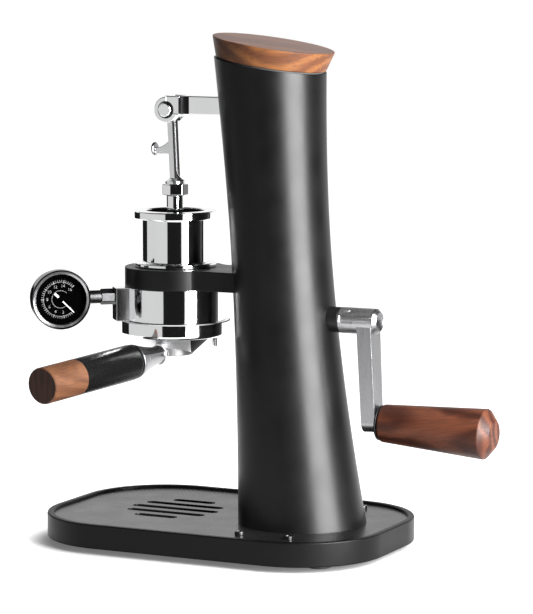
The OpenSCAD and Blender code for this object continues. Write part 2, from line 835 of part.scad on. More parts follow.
module group_body() color("gainsboro") place() difference() {
    union() {
        translate([0, 0, group_z]) cylinder(h = group_h, r = group_r);
        translate([0, 0, group_z - spigot_ring_h]) ring(spigot_ring_r, seal_r, spigot_ring_h + over);
        translate([0, 0, group_z - screen_drop]) cylinder(h = screen_drop + over, r = screen_boss_r);
        rotate(gauge_yaw) translate([-boss_reach, -boss_w / 2, group_z])
            cube([boss_reach - cup_r - boss_root, boss_w, group_h]);
    }
    translate([0, 0, cup_foot_z]) cylinder(h = group_h, r = cup_r + still);
    translate([0, 0, group_z + group_floor_h]) cylinder(h = group_h, r = feed_r);
    for (k = [0:feed_holes - 1]) rotate(k * 360 / feed_holes)
        translate([feed_circle_r, 0, group_z - over]) cylinder(h = group_floor_h + 2 * over, r = feed_hole_r);
    translate([0, 0, group_z - screen_drop - over])
        cylinder(h = screen_drop + group_floor_h + 2 * over, r = m4_r + still);
    rotate(gauge_yaw) {
        translate([0, 0, gauge_z]) along_x(-boss_reach - over, -port_reach, port_r);
        translate([-port_reach, 0, group_z + group_floor_h]) cylinder(h = group_h, r = port_r);
        translate([0, 0, group_z + group_floor_h + port_r]) along_x(-port_reach, -feed_r + over, port_r);
    }
}

module bayonet_collar() color("gainsboro") place() translate([0, 0, collar_z]) difference() {
    rotate_extrude() polygon(concat([[0, 0]],
        [for (a = [0:15:90]) [collar_r - collar_round * (1 - sin(a)), collar_round * (1 - cos(a))]],
        [[collar_r, collar_h - collar_edge], [collar_r - collar_edge, collar_h], [0, collar_h]]));
    translate([0, 0, collar_h - spigot_ring_h]) cylinder(h = spigot_ring_h + over, r = spigot_ring_r + still);
    translate([0, 0, bayonet_lip_h]) cylinder(h = collar_h, r = bayonet_r);
    translate([0, 0, -over]) cylinder(h = collar_h, r = bayonet_lip_r);
    for (turn = [0, 180]) rotate(turn - 45) sector(bayonet_r, bayonet_gap_half, -over, bayonet_lip_h + over);
    rotate(stop_pin_turn) translate([stop_pin_at, 0, -over])
        cylinder(h = stop_pin_seat + over, r = stop_pin_shank + still);
}

// a slice of a disc, half degrees to either side of the X axis
module sector(r, half, z0, z1) {
    translate([0, 0, z0]) rotate(-half) rotate_extrude(angle = 2 * half) square([r, z1 - z0]);
}

module stop_pin() color("silver") place() rotate(stop_pin_turn)
    translate([stop_pin_at, 0, collar_z - stop_pin_len]) {
        cylinder(h = stop_pin_len, r = stop_pin_r);
        cylinder(h = stop_pin_len + stop_pin_seat, r = stop_pin_shank);
    }

module group_gasket() color("#141414") place()
    translate([0, 0, group_z - gasket_t]) ring(seal_r - still, gasket_in_r, gasket_t);

module shower_screen() color("silver") place()
    translate([0, 0, group_z - screen_drop - screen_t]) difference() {
    cylinder(h = screen_t, r = screen_r);
    translate([0, 0, -over]) {
        cylinder(h = screen_t + 2 * over, r = m4_r + still);
        for (row = [2:screen_rows], k = [0:row * 6 - 1]) rotate(k * 60 / row)
            translate([row * screen_pitch, 0, 0])
                cylinder(h = screen_t + 2 * over, r = screen_hole_r, $fn = 24);
    }
}

module screen_screw() color("silver") place() translate([0, 0, group_z - screen_drop - screen_t])
    mirror([0, 0, 1]) cap_screw(m4_r, screen_screw_len, m4_head_r, m4_head_h / 2);

// the stem's line, in the gauge's own frame
module stem_line() {
    translate([0, 0, -stem_depth]) children();
}

module gauge_union() color("dimgray") place() gauge_frame() stem_line() difference() {
    translate([union_x, 0, 0]) rotate([0, 90, 0])
        cylinder(h = union_len, r = union_af / sqrt(3), $fn = 6);
    along_x(union_x - over, union_x + union_len + over, stem_r + still);
}

// the stem, its socket inside the case and the curved pressure tube, brazed together
module gauge_stem() color("dimgray") place() gauge_frame() stem_line() difference() {
    union() {
        along_x(bourdon_r, union_x + union_len, stem_r);
        translate([bourdon_r - socket_half, -socket_half, -bourdon_tube_r])
            cube([socket_half + stem_r, 2 * socket_half, 2 * bourdon_tube_r]);
        rotate_extrude(angle = bourdon_arc) translate([bourdon_r, 0]) circle(bourdon_tube_r);
    }
    along_x(bourdon_r, gauge_reach, port_r);
}

module gauge_movement() color("goldenrod") place() gauge_frame() translate([0, 0, -case_back + case_wall]) {
    cylinder(h = movement_t, r = movement_r);
    cylinder(h = case_back - case_wall + needle_at + needle_t + arbor_proud, r = arbor_r);
}

module gauge_case() color("#1a1a1a") place() gauge_frame() difference() {
    translate([0, 0, -case_back]) cylinder(h = case_back + case_front, r = case_r);
    translate([0, 0, -case_back + case_wall]) cylinder(h = case_back + case_front, r = case_r - case_wall);
    stem_line() along_x(0, bezel_r, stem_r + still);
}

module gauge_dial() color("#0a0a0a") place() gauge_frame() translate([0, 0, dial_at])
    ring(dial_r, arbor_r + gap, dial_t);

module gauge_glass() color("lightcyan", 0.4) place() gauge_frame() translate([0, 0, case_front])
    cylinder(h = glass_t, r = case_r - still);

module gauge_bezel() color("silver") place() gauge_frame() rotate_extrude() polygon([
    [case_r + still, bezel_back], [bezel_r, bezel_back], [bezel_r, bezel_front - bezel_round],
    [bezel_crest_r, bezel_front], [bezel_lip_r, case_front + glass_t + bezel_lip_t],
    [bezel_lip_r, case_front + glass_t], [case_r + still, case_front + glass_t]]);

module gauge_needle() color("white") place() gauge_frame() translate([0, 0, needle_at]) difference() {
    union() {
        cylinder(h = needle_t, r = needle_hub_r);
        rotate(needle_rest) linear_extrude(needle_t) polygon([
            [-needle_tail, -needle_w], [0, -needle_w], [needle_len, -needle_w / 4],
            [needle_len, needle_w / 4], [0, needle_w], [-needle_tail, needle_w]]);
    }
    translate([0, 0, -over]) cylinder(h = needle_t + 2 * over, r = arbor_r + running);
}

module rack() color("darkgray") place() difference() {
    translate([rack_x0, 0, 0]) rotate([90, 0, 90]) linear_extrude(rack_w) rack_outline();
    for (z = arm_screw_z) translate([0, 0, z])
        along_x(rack_x0 - over, rack_x0 + rack_w + over, m3_r + still);
}

// the rack seen along X, with a gap level with the lay shaft
module rack_outline() {
    pitch = PI * rack_module;
    half = pitch / 4 - backlash / 4;
    slope = tan(gear_pa);
    teeth = ceil((stroke + 4 * pitch) / pitch);
    translate([rack_back_y, rack_foot_z]) square([rack_root_y - rack_back_y, rack_top - rack_foot_z]);
    for (k = [0:teeth - 1]) translate([pitch_y, lay_z + (k - 1.5) * pitch]) polygon([
        [rack_root_y - pitch_y - tooth_root, -half - dedendum * rack_module * slope],
        [rack_module, -half + rack_module * slope],
        [rack_module, half - rack_module * slope],
        [rack_root_y - pitch_y - tooth_root, half + dedendum * rack_module * slope]]);
}

module lift_arm() color("gainsboro") place() difference() {
    union() {
        translate([0, -arm_w / 2, arm_z]) cube([rack_x0, arm_w, arm_h]);
        translate([pivot_x, 0, pivot_z]) along_y(-fork_half, fork_half, fork_r);
        translate([pivot_x, -fork_half, arm_z]) cube([fork_x - pivot_x, 2 * fork_half, arm_h]);
        for (side = [0, 1]) mirror([0, side, 0]) translate([fork_x, arm_w / 2, arm_z])
            linear_extrude(arm_h) difference() {
                square([fork_fillet_len, fork_fillet]);
                translate([fork_fillet_len, fork_fillet]) scale([fork_fillet_len / fork_fillet, 1])
                    circle(fork_fillet);
            }
    }
    translate([pivot_x - 2 * fork_r, -fork_slot_half, arm_z - fork_r])
        cube([fork_slot_x - pivot_x + 2 * fork_r, 2 * fork_slot_half, arm_h + 2 * fork_r]);
    translate([pivot_x, 0, pivot_z]) along_y(-fork_half - over, fork_half + over, pin_r + still);
    for (z = arm_screw_z) translate([0, 0, z])
        along_x(rack_x0 - arm_screw_grip - over, rack_x0 + over, m3_r + still);
}

module arm_screws() color("silver") place()
    for (z = arm_screw_z) translate([0, 0, z])
        cap_screw_x(rack_x0 + rack_w, m3_r, rack_w + arm_screw_grip, m3_head_r, m4_head_h);

module arm_pin() color("gainsboro") place() translate([pivot_x, 0, pivot_z]) {
    along_y(-fork_half, fork_half, pin_r);
    for (side = [0, 1]) mirror([0, side, 0]) along_y(fork_half, fork_half + pin_head_h, pin_head_r);
}

module plunger_rod() color("gainsboro") place() difference() {
    union() {
        rod_frame() {
            along_y(-fork_slot_half + still, fork_slot_half - still, rod_eye_r);
            translate([-rod_w / 2, -rod_d / 2, 0]) cube([rod_w, rod_d, rod_len - rod_flare_h / 2]);
            hull() {
                translate([-rod_w / 2, -rod_d / 2, rod_len - rod_foot_h - rod_flare_h])
                    cube([rod_w, rod_d, 1]);
                translate([0, 0, rod_len - rod_foot_h - 1]) cylinder(h = 1, r = rod_foot_r, $fn = 32);
            }
        }
        translate([0, 0, rod_foot_z]) cylinder(h = rod_foot_h, r = rod_foot_r);
        translate([0, 0, rod_foot_z - nut_h - stud_len]) cylinder(h = nut_h + stud_len + over, r = stud_r);
    }
    translate([pivot_x, 0, pivot_z]) along_y(-fork_half, fork_half, pin_r + still);
    rod_frame() for (side = [-1, 1])
        translate([side * rod_w / 2 - rod_groove_d, -rod_groove_w / 2, rod_eye_r])
            cube([2 * rod_groove_d, rod_groove_w, rod_len - rod_eye_r - rod_foot_h - rod_flare_h]);
}

// a button on a flat web, whose upper edge is hollowed out for the finger
module finger_knob() color("gainsboro") place() rod_frame()
    translate([rod_w / 2 - rod_groove_d, 0, (pivot_z - knob_z) / cos(rod_lean)]) {
        rotate([0, 90, 0]) rotate_extrude() polygon([
            [0, 0], [rod_groove_w / 2 - still, 0], [rod_groove_w / 2 - still, rod_groove_d + still],
            [knob_stem_r, rod_groove_d + still], [knob_stem_r, knob_reach - knob_t],
            [knob_r, knob_reach - knob_t + knob_edge], [knob_r, knob_reach - knob_edge],
            [knob_r - knob_edge, knob_reach], [0, knob_reach]]);
        translate([rod_groove_d + still, 0, 0]) rotate([90, 0, 0]) linear_extrude(web_t, center = true)
            polygon(web_outline(knob_reach - knob_t - rod_groove_d));
    }

// the web's outline from the rod to the button, measured along the rod downwards
function web_outline(reach) = concat(
    [for (step = [0:web_steps]) [reach * step / web_steps,
        -web_tip - (web_up - web_tip) * pow(1 - step / web_steps, 2)]],
    [[reach, web_down], [0, web_down]]);

module lock_nut() color("gainsboro") place() translate([0, 0, nut_z]) difference() {
    rotate(nut_turn) cylinder(h = nut_h, r = nut_af / sqrt(3), $fn = 6);
    translate([0, 0, -over]) cylinder(h = nut_h + 2 * over, r = stud_r + still);
}

module piston_rod() color("gainsboro") place() difference() {
    translate([0, 0, piston_top]) cylinder(h = nut_z - piston_top, r = piston_rod_r);
    translate([0, 0, nut_z - stud_len - over]) cylinder(h = stud_len + 2 * over, r = stud_r + still);
}

module piston() color("silver") place() difference() {
    translate([0, 0, piston_top - piston_h]) cylinder(h = piston_h, r = piston_r);
    translate([0, 0, piston_top - piston_h / 2]) rotate_extrude()
        translate([seal_out_r - seal_tube_r, 0]) square(2 * seal_tube_r + 2 * still, center = true);
}

module piston_seal() color("#151515") place() translate([0, 0, piston_top - piston_h / 2])
    rotate_extrude() translate([seal_out_r - seal_tube_r, 0]) circle(seal_tube_r);

module lay_shaft() color("darkgray") place() lay_axis()
    along_x(lay_shaft_x0, rear_x + plate_t + over, lay_shaft_r);

// the lay gear has a gap towards the crank shaft, the lay pinion a tooth towards the rack
module lay_gear() color("goldenrod") place() lay_axis()
    spur_gear(gear_x, gear_w, gear_module, lay_teeth, mesh_turn + 180 + 180 / lay_teeth, lay_shaft_r + still);

module lay_pinion() color("goldenrod") place() lay_axis()
    spur_gear(rack_x0 + lay_pinion_inset, rack_w - 2 * lay_pinion_inset,
        rack_module, pinion_teeth, 180, lay_shaft_r + still);

module crank_shaft() color("darkgray") place() crank_axis() {
    along_x(shaft_x0, shoulder_x + over, journal_r);
    along_x(shoulder_x, hub_x0 + hub_bore_depth, shaft_r);
}

module drive_pinion() color("goldenrod") place() crank_axis()
    spur_gear(gear_x, gear_w, gear_module, pinion_teeth, mesh_turn, journal_r + still);

module crank_hub() color("gainsboro") place() crank_axis() difference() {
    union() {
        along_x(hub_x0, hub_x0 + hub_len, hub_r);
        translate([hub_x0 + hub_len, 0, 0]) rotate([0, 90, 0])
            cylinder(h = hub_tip, r1 = hub_r, r2 = hub_tip_r);
    }
    along_x(hub_x0 - over, hub_x0 + hub_bore_depth + still, shaft_r + still);
    translate([crank_arm_x0 - still, -hub_r - over, -hub_r - over])
        cube([crank_arm_t + 2 * still, 2 * hub_r + 2 * over, hub_r + over - tenon_top]);
    set_screw_place() cylinder(h = hub_r, r = set_screw_r + still);
    lock_slot();
}

// shallow L-shaped slot at the front of the hub
module lock_slot() {
    translate([hub_x0 + lock_slot_x, -hub_r - over, -lock_slot_w / 2]) {
        cube([lock_slot_len, over + lock_slot_d, lock_slot_w]);
        cube([lock_slot_w, over + lock_slot_d, hub_r]);
    }
}

module set_screw_place() {
    translate([hub_x0 + set_screw_x, 0, 0]) rotate([set_screw_turn, 0, 0])
        translate([0, 0, shaft_r + still]) children();
}

module hub_screw() color("dimgray") place() crank_axis()
    set_screw_place() cylinder(h = hub_r - shaft_r - set_screw_sunk, r = set_screw_r);

module crank_arm() color("silver") place() difference() {
    union() {
        intersection() {
            translate([crank_arm_x0, 0, crank_z]) rotate([0, -crank_splay, 0]) rotate([90, 0, 90])
                linear_extrude(crank_arm_t) {
                    polygon([[-crank_arm_w / 2, 0], [crank_arm_w / 2, 0],
                        [crank_arm_end_r, -crank_reach], [-crank_arm_end_r, -crank_reach]]);
                    translate([0, -crank_reach]) circle(crank_arm_end_r);
                }
            translate([crank_arm_x0, -crank_arm_w, 0])
                cube([crank_reach, 2 * crank_arm_w, crank_z - tenon_top - still]);
        }
        grip_frame() translate([0, 0, -crank_arm_t / 2])
            cylinder(h = crank_arm_t / 2 + arm_boss_len, r = arm_boss_r);
    }
    grip_frame() translate([0, 0, -spindle_in - over])
        cylinder(h = spindle_in + 2 * over + arm_boss_len, r = spindle_r + still);
    hub_throat();
}

// the hub's wall above and beside the arm's tenon
module hub_throat() {
    crank_axis() {
        along_x(crank_arm_x0 + crank_arm_t + still, crank_arm_x0 + 2 * crank_arm_t, hub_r + still);
        along_x(hub_x0, hub_x0 + hub_bore_depth + 2 * still, shaft_r + 2 * still);
    }
}

module grip_spindle() color("darkgray") place() grip_frame()
    translate([0, 0, -spindle_in]) cylinder(h = spindle_in + spindle_len, r = spindle_r);

module grip_washer() color("#101010") place() grip_frame() {
    translate([0, 0, arm_boss_len]) ring(washer_r, spindle_r + still, washer_t);
    translate([0, 0, clip_at]) ring(clip_r, spindle_r + still, clip_t);
}

module crank_grip() color("#7a4528") place() grip_frame() translate([0, 0, grip_start]) difference() {
    rotate_extrude() polygon(concat(
        [[0, 0], [grip_neck_r - grip_edge, 0], [grip_neck_r, grip_edge]],
        [for (a = [0:15:90])
            [grip_end_r + (grip_r - grip_end_r) * cos(a), grip_len - grip_round * (1 - sin(a))]],
        [[0, grip_len]]));
    translate([0, 0, -over]) cylinder(h = spindle_len - grip_start + 2 * over, r = spindle_r + running);
    translate([0, 0, clip_at - grip_start - gap]) cylinder(h = clip_t + 2 * gap, r = clip_r + gap);
}

module portafilter_body() color("gainsboro") place() difference() {
    union() {
        rotate_extrude() polygon([[0, pf_foot_z], [pf_foot_r, pf_foot_z], [pf_skirt_r, pf_skirt_z],
            [pf_r, pf_shoulder_z], [pf_r, pf_top], [0, pf_top]]);
        for (turn = [0, 180]) rotate(turn) sector(pf_ear_r, pf_ear_half, pf_ear_z, pf_top);
        rotate(-handle_yaw) translate([0, -lug_at, pf_foot_z + lug_lift]) cylinder(h = lug_h, r = lug_r);
        handle_frame() translate([0, 0, pf_foot_r - over])
            cylinder(h = neck_ring_at - pf_foot_r + over, r = stub_r);
    }
    rotate_extrude() polygon([[0, pf_floor_z], [pf_cone_r(pf_floor_z) - pf_wall, pf_floor_z],
        [pf_skirt_r - pf_wall, pf_skirt_z], [pf_bore_r, pf_shoulder_z], [pf_bore_r, pf_top + over],
        [0, pf_top + over]]);
    translate([0, 0, pf_foot_z - over]) cylinder(h = pf_floor_z - pf_foot_z + 2 * over, r = pf_outlet_r);
}

module portafilter_basket() color("silver") place() difference() {
    rotate_extrude() polygon([
        [0, basket_z], [basket_foot_r, basket_z], [basket_skirt_r, pf_skirt_z], [basket_r, pf_shoulder_z],
        [basket_r, pf_top], [basket_lip_r, pf_top], [basket_lip_r, pf_lip_z],
        [basket_r - basket_wall, pf_lip_z],
        [basket_r - basket_wall, pf_shoulder_z], [basket_skirt_r - basket_wall, pf_skirt_z],
        [basket_foot_r - basket_wall, basket_z + basket_wall], [0, basket_z + basket_wall]]);
    for (row = [1:basket_rows], k = [0:row * 6 - 1]) rotate(k * 60 / row)
        translate([row * basket_foot_r / (basket_rows + 1), 0, basket_z - over])
            cylinder(h = basket_wall + 2 * over, r = basket_hole_r, $fn = 24);
}

module handle_neck() color("gainsboro") place() handle_frame() {
    translate([0, 0, neck_ring_at]) cylinder(h = neck_ring_t, r = neck_ring_r);
    translate([0, 0, neck_ring_at]) cylinder(h = neck_flare_at - neck_ring_at, r = neck_r);
    translate([0, 0, neck_flare_at]) cylinder(h = neck_end - neck_flare_at, r1 = neck_r, r2 = neck_end_r);
    translate([0, 0, neck_end - over])
        cylinder(h = handle_wood_at - neck_end + over + handle_wood / 2, r = tang_r);
}

module handle_grip() color("#141414") place() handle_frame() difference() {
    rotate_extrude() polygon(concat([[0, neck_end]],
        [for (a = [0:15:90])
            [handle_r - handle_round * (1 - sin(a)), neck_end + handle_round * (1 - cos(a))]],
        [[handle_r, handle_wood_at], [0, handle_wood_at]]));
    translate([0, 0, neck_end - over]) cylinder(h = handle_reach, r = tang_r + still);
}

module handle_end() color("#a9714b") place() handle_frame() difference() {
    translate([0, 0, handle_wood_at]) {
        cylinder(h = handle_wood - handle_edge, r = handle_r);
        translate([0, 0, handle_wood - handle_edge])
            cylinder(h = handle_edge, r1 = handle_r, r2 = handle_r - handle_edge);
    }
    translate([0, 0, handle_wood_at - over]) cylinder(h = handle_wood / 2 + over + still, r = tang_r + still);
}

base_body();
deck_plate();
deck_screws();
drip_tray();
rubber_feet();
column_shell();
column_bolts();
cap_gasket();
wood_cap();
frame_foot();
frame_bolts();
front_plate();
rear_plate();
plate_spacers();
rack_guide();
shaft_bushes();
crank_bush();
group_bracket();
bracket_screws();
water_cup();
group_body();
bayonet_collar();
stop_pin();
group_gasket();
shower_screen();
screen_screw();
gauge_union();
gauge_stem();
gauge_movement();
gauge_case();
gauge_dial();
gauge_glass();
gauge_bezel();
gauge_needle();
rack();
lift_arm();
arm_screws();
arm_pin();
plunger_rod();
finger_knob();
lock_nut();
piston_rod();
piston();
piston_seal();
lay_shaft();
lay_gear();
lay_pinion();
crank_shaft();
drive_pinion();
crank_hub();
hub_screw();
crank_arm();
grip_spindle();
grip_washer();
crank_grip();
portafilter_body();
portafilter_basket();
handle_neck();
handle_grip();
handle_end();
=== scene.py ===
import json
import math

import bmesh
import bpy
from mathutils import Matrix, Vector


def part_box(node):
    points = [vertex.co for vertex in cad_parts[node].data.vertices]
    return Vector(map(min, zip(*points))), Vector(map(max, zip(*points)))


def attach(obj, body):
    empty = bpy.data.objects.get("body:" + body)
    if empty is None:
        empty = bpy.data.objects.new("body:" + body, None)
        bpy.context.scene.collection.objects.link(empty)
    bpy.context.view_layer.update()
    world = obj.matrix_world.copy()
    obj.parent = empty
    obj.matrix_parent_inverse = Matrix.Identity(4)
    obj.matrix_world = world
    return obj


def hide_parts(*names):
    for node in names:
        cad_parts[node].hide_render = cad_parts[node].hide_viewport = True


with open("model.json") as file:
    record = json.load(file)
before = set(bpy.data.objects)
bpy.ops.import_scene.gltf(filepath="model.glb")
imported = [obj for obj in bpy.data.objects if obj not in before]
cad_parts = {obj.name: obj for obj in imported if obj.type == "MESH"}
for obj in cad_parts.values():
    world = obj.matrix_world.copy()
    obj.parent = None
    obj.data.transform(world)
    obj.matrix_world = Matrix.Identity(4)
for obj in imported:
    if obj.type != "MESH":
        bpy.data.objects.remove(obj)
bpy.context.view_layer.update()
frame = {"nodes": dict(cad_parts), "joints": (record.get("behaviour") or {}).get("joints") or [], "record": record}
scene = bpy.context.scene
scene.view_settings.view_transform = "Standard"
joints = {joint["name"]: joint for joint in frame["joints"]}

# Camera: a long lens on a tripod, a little above the table and to the right of
# the machine's front. It aims at the middle of the picture, beside the brew axis.
photo_h = 614
focal_px = 3030
sensor = 36
camera_turn = math.radians(26)
camera_lift = math.radians(7.06)
camera_distance = 2.2119
brew = Vector(joints["portafilter_turn"]["pos_m"])
brew.z = 0
aim = brew + Vector((0.07485, 0, 0.17712))


def outward(turn, lift=0.0):
    """Direction that points turn to the right of the front and lift above the table."""
    return Vector((math.sin(turn) * math.cos(lift), -math.cos(turn) * math.cos(lift), math.sin(lift)))


camera_lens = bpy.data.cameras.new("camera")
camera_lens.sensor_width = sensor
camera_lens.lens = focal_px * sensor / photo_h
camera = bpy.data.objects.new("camera", camera_lens)
camera.location = aim + outward(camera_turn, camera_lift) * camera_distance
camera.rotation_euler = outward(camera_turn, camera_lift).to_track_quat("Z", "Y").to_euler()
scene.collection.objects.link(camera)
scene.camera = camera

# Table: a white sweep that stays white under the machine and keeps its soft contact
# shadow. Part of its white is its own glow, which the camera and the metal both see.
# This glow dims close to the base's outline, which paints the contact shadow there.
floor_half = 4
floor_paint = 0.34
glow_in_painted_shadow = 0.15
floor_glow_far = 1.0
painted_shadow_reach = 0.022
crease = math.radians(32)
base_low, base_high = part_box("base_body")
base_corner = 0.064


def new_material(name):
    """A node material and its node tree."""
    material = bpy.data.materials.new(name)
    material.use_nodes = True
    return material, material.node_tree


def add_node(tree, kind, inputs, **settings):
    """A shader node with its settings made and each input wired or set to a value."""
    node = tree.nodes.new(kind)
    for name, value in settings.items():
        setattr(node, name, value)
    for key, value in inputs.items():
        if isinstance(value, bpy.types.NodeSocket):
            tree.links.new(value, node.inputs[key])
        else:
            node.inputs[key].default_value = value
    return node


def seen_rays(tree):
    """1 for camera, glossy and transmission rays, 0 for the rays that only light things."""
    rays = add_node(tree, "ShaderNodeLightPath", {}).outputs
    seen = rays["Is Camera Ray"]
    for name in ("Is Glossy Ray", "Is Transmission Ray"):
        seen = add_node(tree, "ShaderNodeMath", {0: seen, 1: rays[name]}, operation="MAXIMUM").outputs[0]
    return seen


table_white, tree = new_material("table_white")
tree.nodes.remove(tree.nodes["Principled BSDF"])
away = add_node(tree, "ShaderNodeTexCoord", {}).outputs["Object"]
base_middle = (base_low + base_high) / 2
base_flat = (base_high - base_low) / 2 - Vector((base_corner, base_corner, 0))
for operation, amount in (("SUBTRACT", base_middle), ("ABSOLUTE", Vector()), ("SUBTRACT", base_flat),
                          ("MAXIMUM", Vector()), ("MULTIPLY", Vector((1, 1, 0)))):
    away = add_node(tree, "ShaderNodeVectorMath", {0: away, 1: amount}, operation=operation).outputs["Vector"]
outside = add_node(tree, "ShaderNodeVectorMath", {0: away}, operation="LENGTH").outputs["Value"]
# The glow fades from a low level at the base's outline to full white a little way out: a painted contact shadow.
painted_shadow_glow = add_node(tree, "ShaderNodeMapRange", {"Value": outside, "From Min": base_corner,
                                                  "From Max": base_corner + painted_shadow_reach,
                                                  "To Min": glow_in_painted_shadow, "To Max": floor_glow_far},
                     interpolation_type="SMOOTHSTEP")
glow_level = add_node(tree, "ShaderNodeMath", {0: seen_rays(tree), 1: painted_shadow_glow.outputs["Result"]},
                      operation="MULTIPLY")
glow = add_node(tree, "ShaderNodeEmission", {"Strength": glow_level.outputs[0]})
paint = add_node(tree, "ShaderNodeBsdfDiffuse", {"Color": (floor_paint, floor_paint, floor_paint, 1)})
both = add_node(tree, "ShaderNodeAddShader", {0: paint.outputs[0], 1: glow.outputs[0]})
tree.links.new(both.outputs[0], tree.nodes["Material Output"].inputs["Surface"])


def add_object(name, bm, materials):
    """Turns a bmesh into an object at the origin, smooth but for its sharp edges."""
    mesh = bpy.data.meshes.new(name)
    bm.to_mesh(mesh)
    bm.free()
    for material in materials:
        mesh.materials.append(material)
    mesh.shade_smooth()
    mesh.set_sharp_from_angle(angle=crease)
    made = bpy.data.objects.new(name, mesh)
    scene.collection.objects.link(made)
    flats = made.modifiers.new("flats", "WEIGHTED_NORMAL")
    flats.keep_sharp = True
    return made


bm = bmesh.new()
bmesh.ops.create_grid(bm, x_segments=1, y_segments=1, size=floor_half)
floor = add_object("table_top", bm, [table_white])

# Light: a tall strip box to the right of the camera, a wide box overhead, and a white
# room. Black cards between them give the polished metal its dark bands.
room_fill = 0.2
key_turn = camera_turn + math.radians(47)
key_size = (0.8, 1.1)
key_gap = 0.02
key_distance = 1.15
key_watts = 134
top_size = 1.1
top_height = 1.5
top_watts = 9
card_radius = 0.75
card_low = 0.001
card_height = 1.4
card_grey = 0.012
strip_radius = 0.6
strip_height = 0.34
strip_grey = 0.7
strip = (-112, -33)
up = Vector((0, 0, 1))
cards = ((-150, -122, card_low, 0.25), (-122, 18, card_low, card_height), (71, 118, card_low, card_height),
         (118, 210, 0.6, card_height))

room = bpy.data.worlds.new("room")
scene.world = room
room.use_nodes = True
tree = room.node_tree
room_level = add_node(tree, "ShaderNodeMapRange", {"Value": seen_rays(tree), "To Min": room_fill})
walls = tree.nodes["Background"]
walls.inputs["Color"].default_value = (1, 1, 1, 1)
tree.links.new(room_level.outputs[0], walls.inputs["Strength"])


def soft_box(name, size, watts, place, toward):
    """A rectangular studio lamp that faces a point and is hidden from the camera."""
    lamp = bpy.data.lights.new(name, "AREA")
    lamp.shape = "RECTANGLE"
    lamp.size, lamp.size_y = size
    lamp.energy = watts
    box = bpy.data.objects.new(name, lamp)
    box.location = place
    box.rotation_euler = (place - toward).to_track_quat("Z", "Y").to_euler()
    box.visible_camera = False
    scene.collection.objects.link(box)


key_place = aim + outward(key_turn) * key_distance
key_place.z = key_size[1] / 2 + key_gap
soft_box("key_box", key_size, key_watts, key_place, Vector((aim.x, aim.y, key_place.z)))
soft_box("top_box", (top_size, top_size), top_watts, Vector((aim.x, aim.y, top_height)), aim)


def card(name, grey, start, end, profile):
    """A bent card round the machine, from (radius, height) points; only polished faces see it."""
    paint, tree = new_material(name)
    shade = add_node(tree, "ShaderNodeEmission", {"Strength": grey})
    tree.links.new(shade.outputs[0], tree.nodes["Material Output"].inputs["Surface"])
    bm = bmesh.new()
    middle = Vector((aim.x, aim.y, 0))
    way = outward(camera_turn + math.radians(start))
    line = [bm.verts.new(middle + way * radius + up * height) for radius, height in profile]
    edges = [bm.edges.new(pair) for pair in zip(line, line[1:])]
    bmesh.ops.spin(bm, geom=line + edges, cent=middle, axis=up,
                   angle=math.radians(end - start), steps=48)
    made = add_object(name, bm, [paint])
    made.visible_camera = False
    made.visible_diffuse = False
    made.visible_shadow = False


for start, end, low, high in cards:
    card("black_card_%d" % (start + 180), card_grey, start, end, ((card_radius, low), (card_radius, high)))
card("dark_roof", card_grey, 0, 360, ((0, card_height), (card_radius, card_height)))
# The grey strip glows and only polished faces see it: a painted light band in their reflections.
card("grey_strip", strip_grey, *strip, ((strip_radius, card_low), (strip_radius, strip_height)))

# Base: a cast tray with round corners and a raised rim, powder coated black.
# Its outer edges are rounded by the casting, so the rim catches a thin line of light.
rim_width = 0.005
rim_drop = 0.005
rim_draft = 0.0003
rim_round = 0.0011
coat_black = (0.0014, 0.0014, 0.0015)


def noise_on(tree, spot, scale, detail, stretch):
    """A noise on given coordinates; scale counts features per metre."""
    mapped = add_node(tree, "ShaderNodeMapping", {"Vector": spot, "Scale": stretch}).outputs["Vector"]
    noise = add_node(tree, "ShaderNodeTexNoise", {"Vector": mapped, "Scale": scale, "Detail": detail})
    return noise.outputs["Fac"]


def grain_noise(tree, scale, detail=3.0, stretch=(1, 1, 1)):
    """A noise on the piece's own coordinates."""
    spot = add_node(tree, "ShaderNodeTexCoord", {}).outputs["Object"]
    return noise_on(tree, spot, scale, detail, stretch)


def vary(tree, noise, socket, low, high):
    """Lets a noise run a shader's socket between two levels."""
    span = add_node(tree, "ShaderNodeMapRange", {"Value": noise, "From Min": 0.3, "From Max": 0.7,
                                                 "To Min": low, "To Max": high})
    tree.links.new(span.outputs["Result"], socket)


def blend(tree, noise, stops):
    """The colour that a noise picks between (place, colour) stops."""
    ramp = add_node(tree, "ShaderNodeValToRGB", {"Fac": noise})
    ends = ramp.color_ramp.elements
    for end, (place, colour) in ((ends[0], stops[0]), (ends[1], stops[-1])):
        end.position = place
        end.color = (*colour, 1)
    for place, colour in stops[1:-1]:
        ends.new(place).color = (*colour, 1)
    return ramp.outputs["Color"]


def emboss(tree, noise, shader, depth, strength):
    """Raises the surface a little by a noise."""
    bump = add_node(tree, "ShaderNodeBump", {"Distance": depth, "Strength": strength, "Height": noise})
    tree.links.new(bump.outputs["Normal"], shader.inputs["Normal"])


def scaled(colour, by):
    """A colour made lighter or darker."""
    return tuple(by * part for part in colour)


def finish(name, dark, light, rough, grain, metal=0.0, gloss=0.5, relief=None, skin=None):
    """A finish whose colour and roughness wander with a noise, the grain. A relief, which is a
    depth and a strength, raises it by the grain or by a finer noise, the skin."""
    material, tree = new_material(name)
    shader = tree.nodes["Principled BSDF"]
    shader.inputs["Metallic"].default_value = metal
    shader.inputs["Specular IOR Level"].default_value = gloss
    noise = grain_noise(tree, *grain)
    tree.links.new(blend(tree, noise, ((0.35, dark), (0.65, light))), shader.inputs["Base Color"])
    vary(tree, noise, shader.inputs["Roughness"], *rough)
    if relief:
        emboss(tree, grain_noise(tree, *skin) if skin else noise, shader, *relief)
    return material


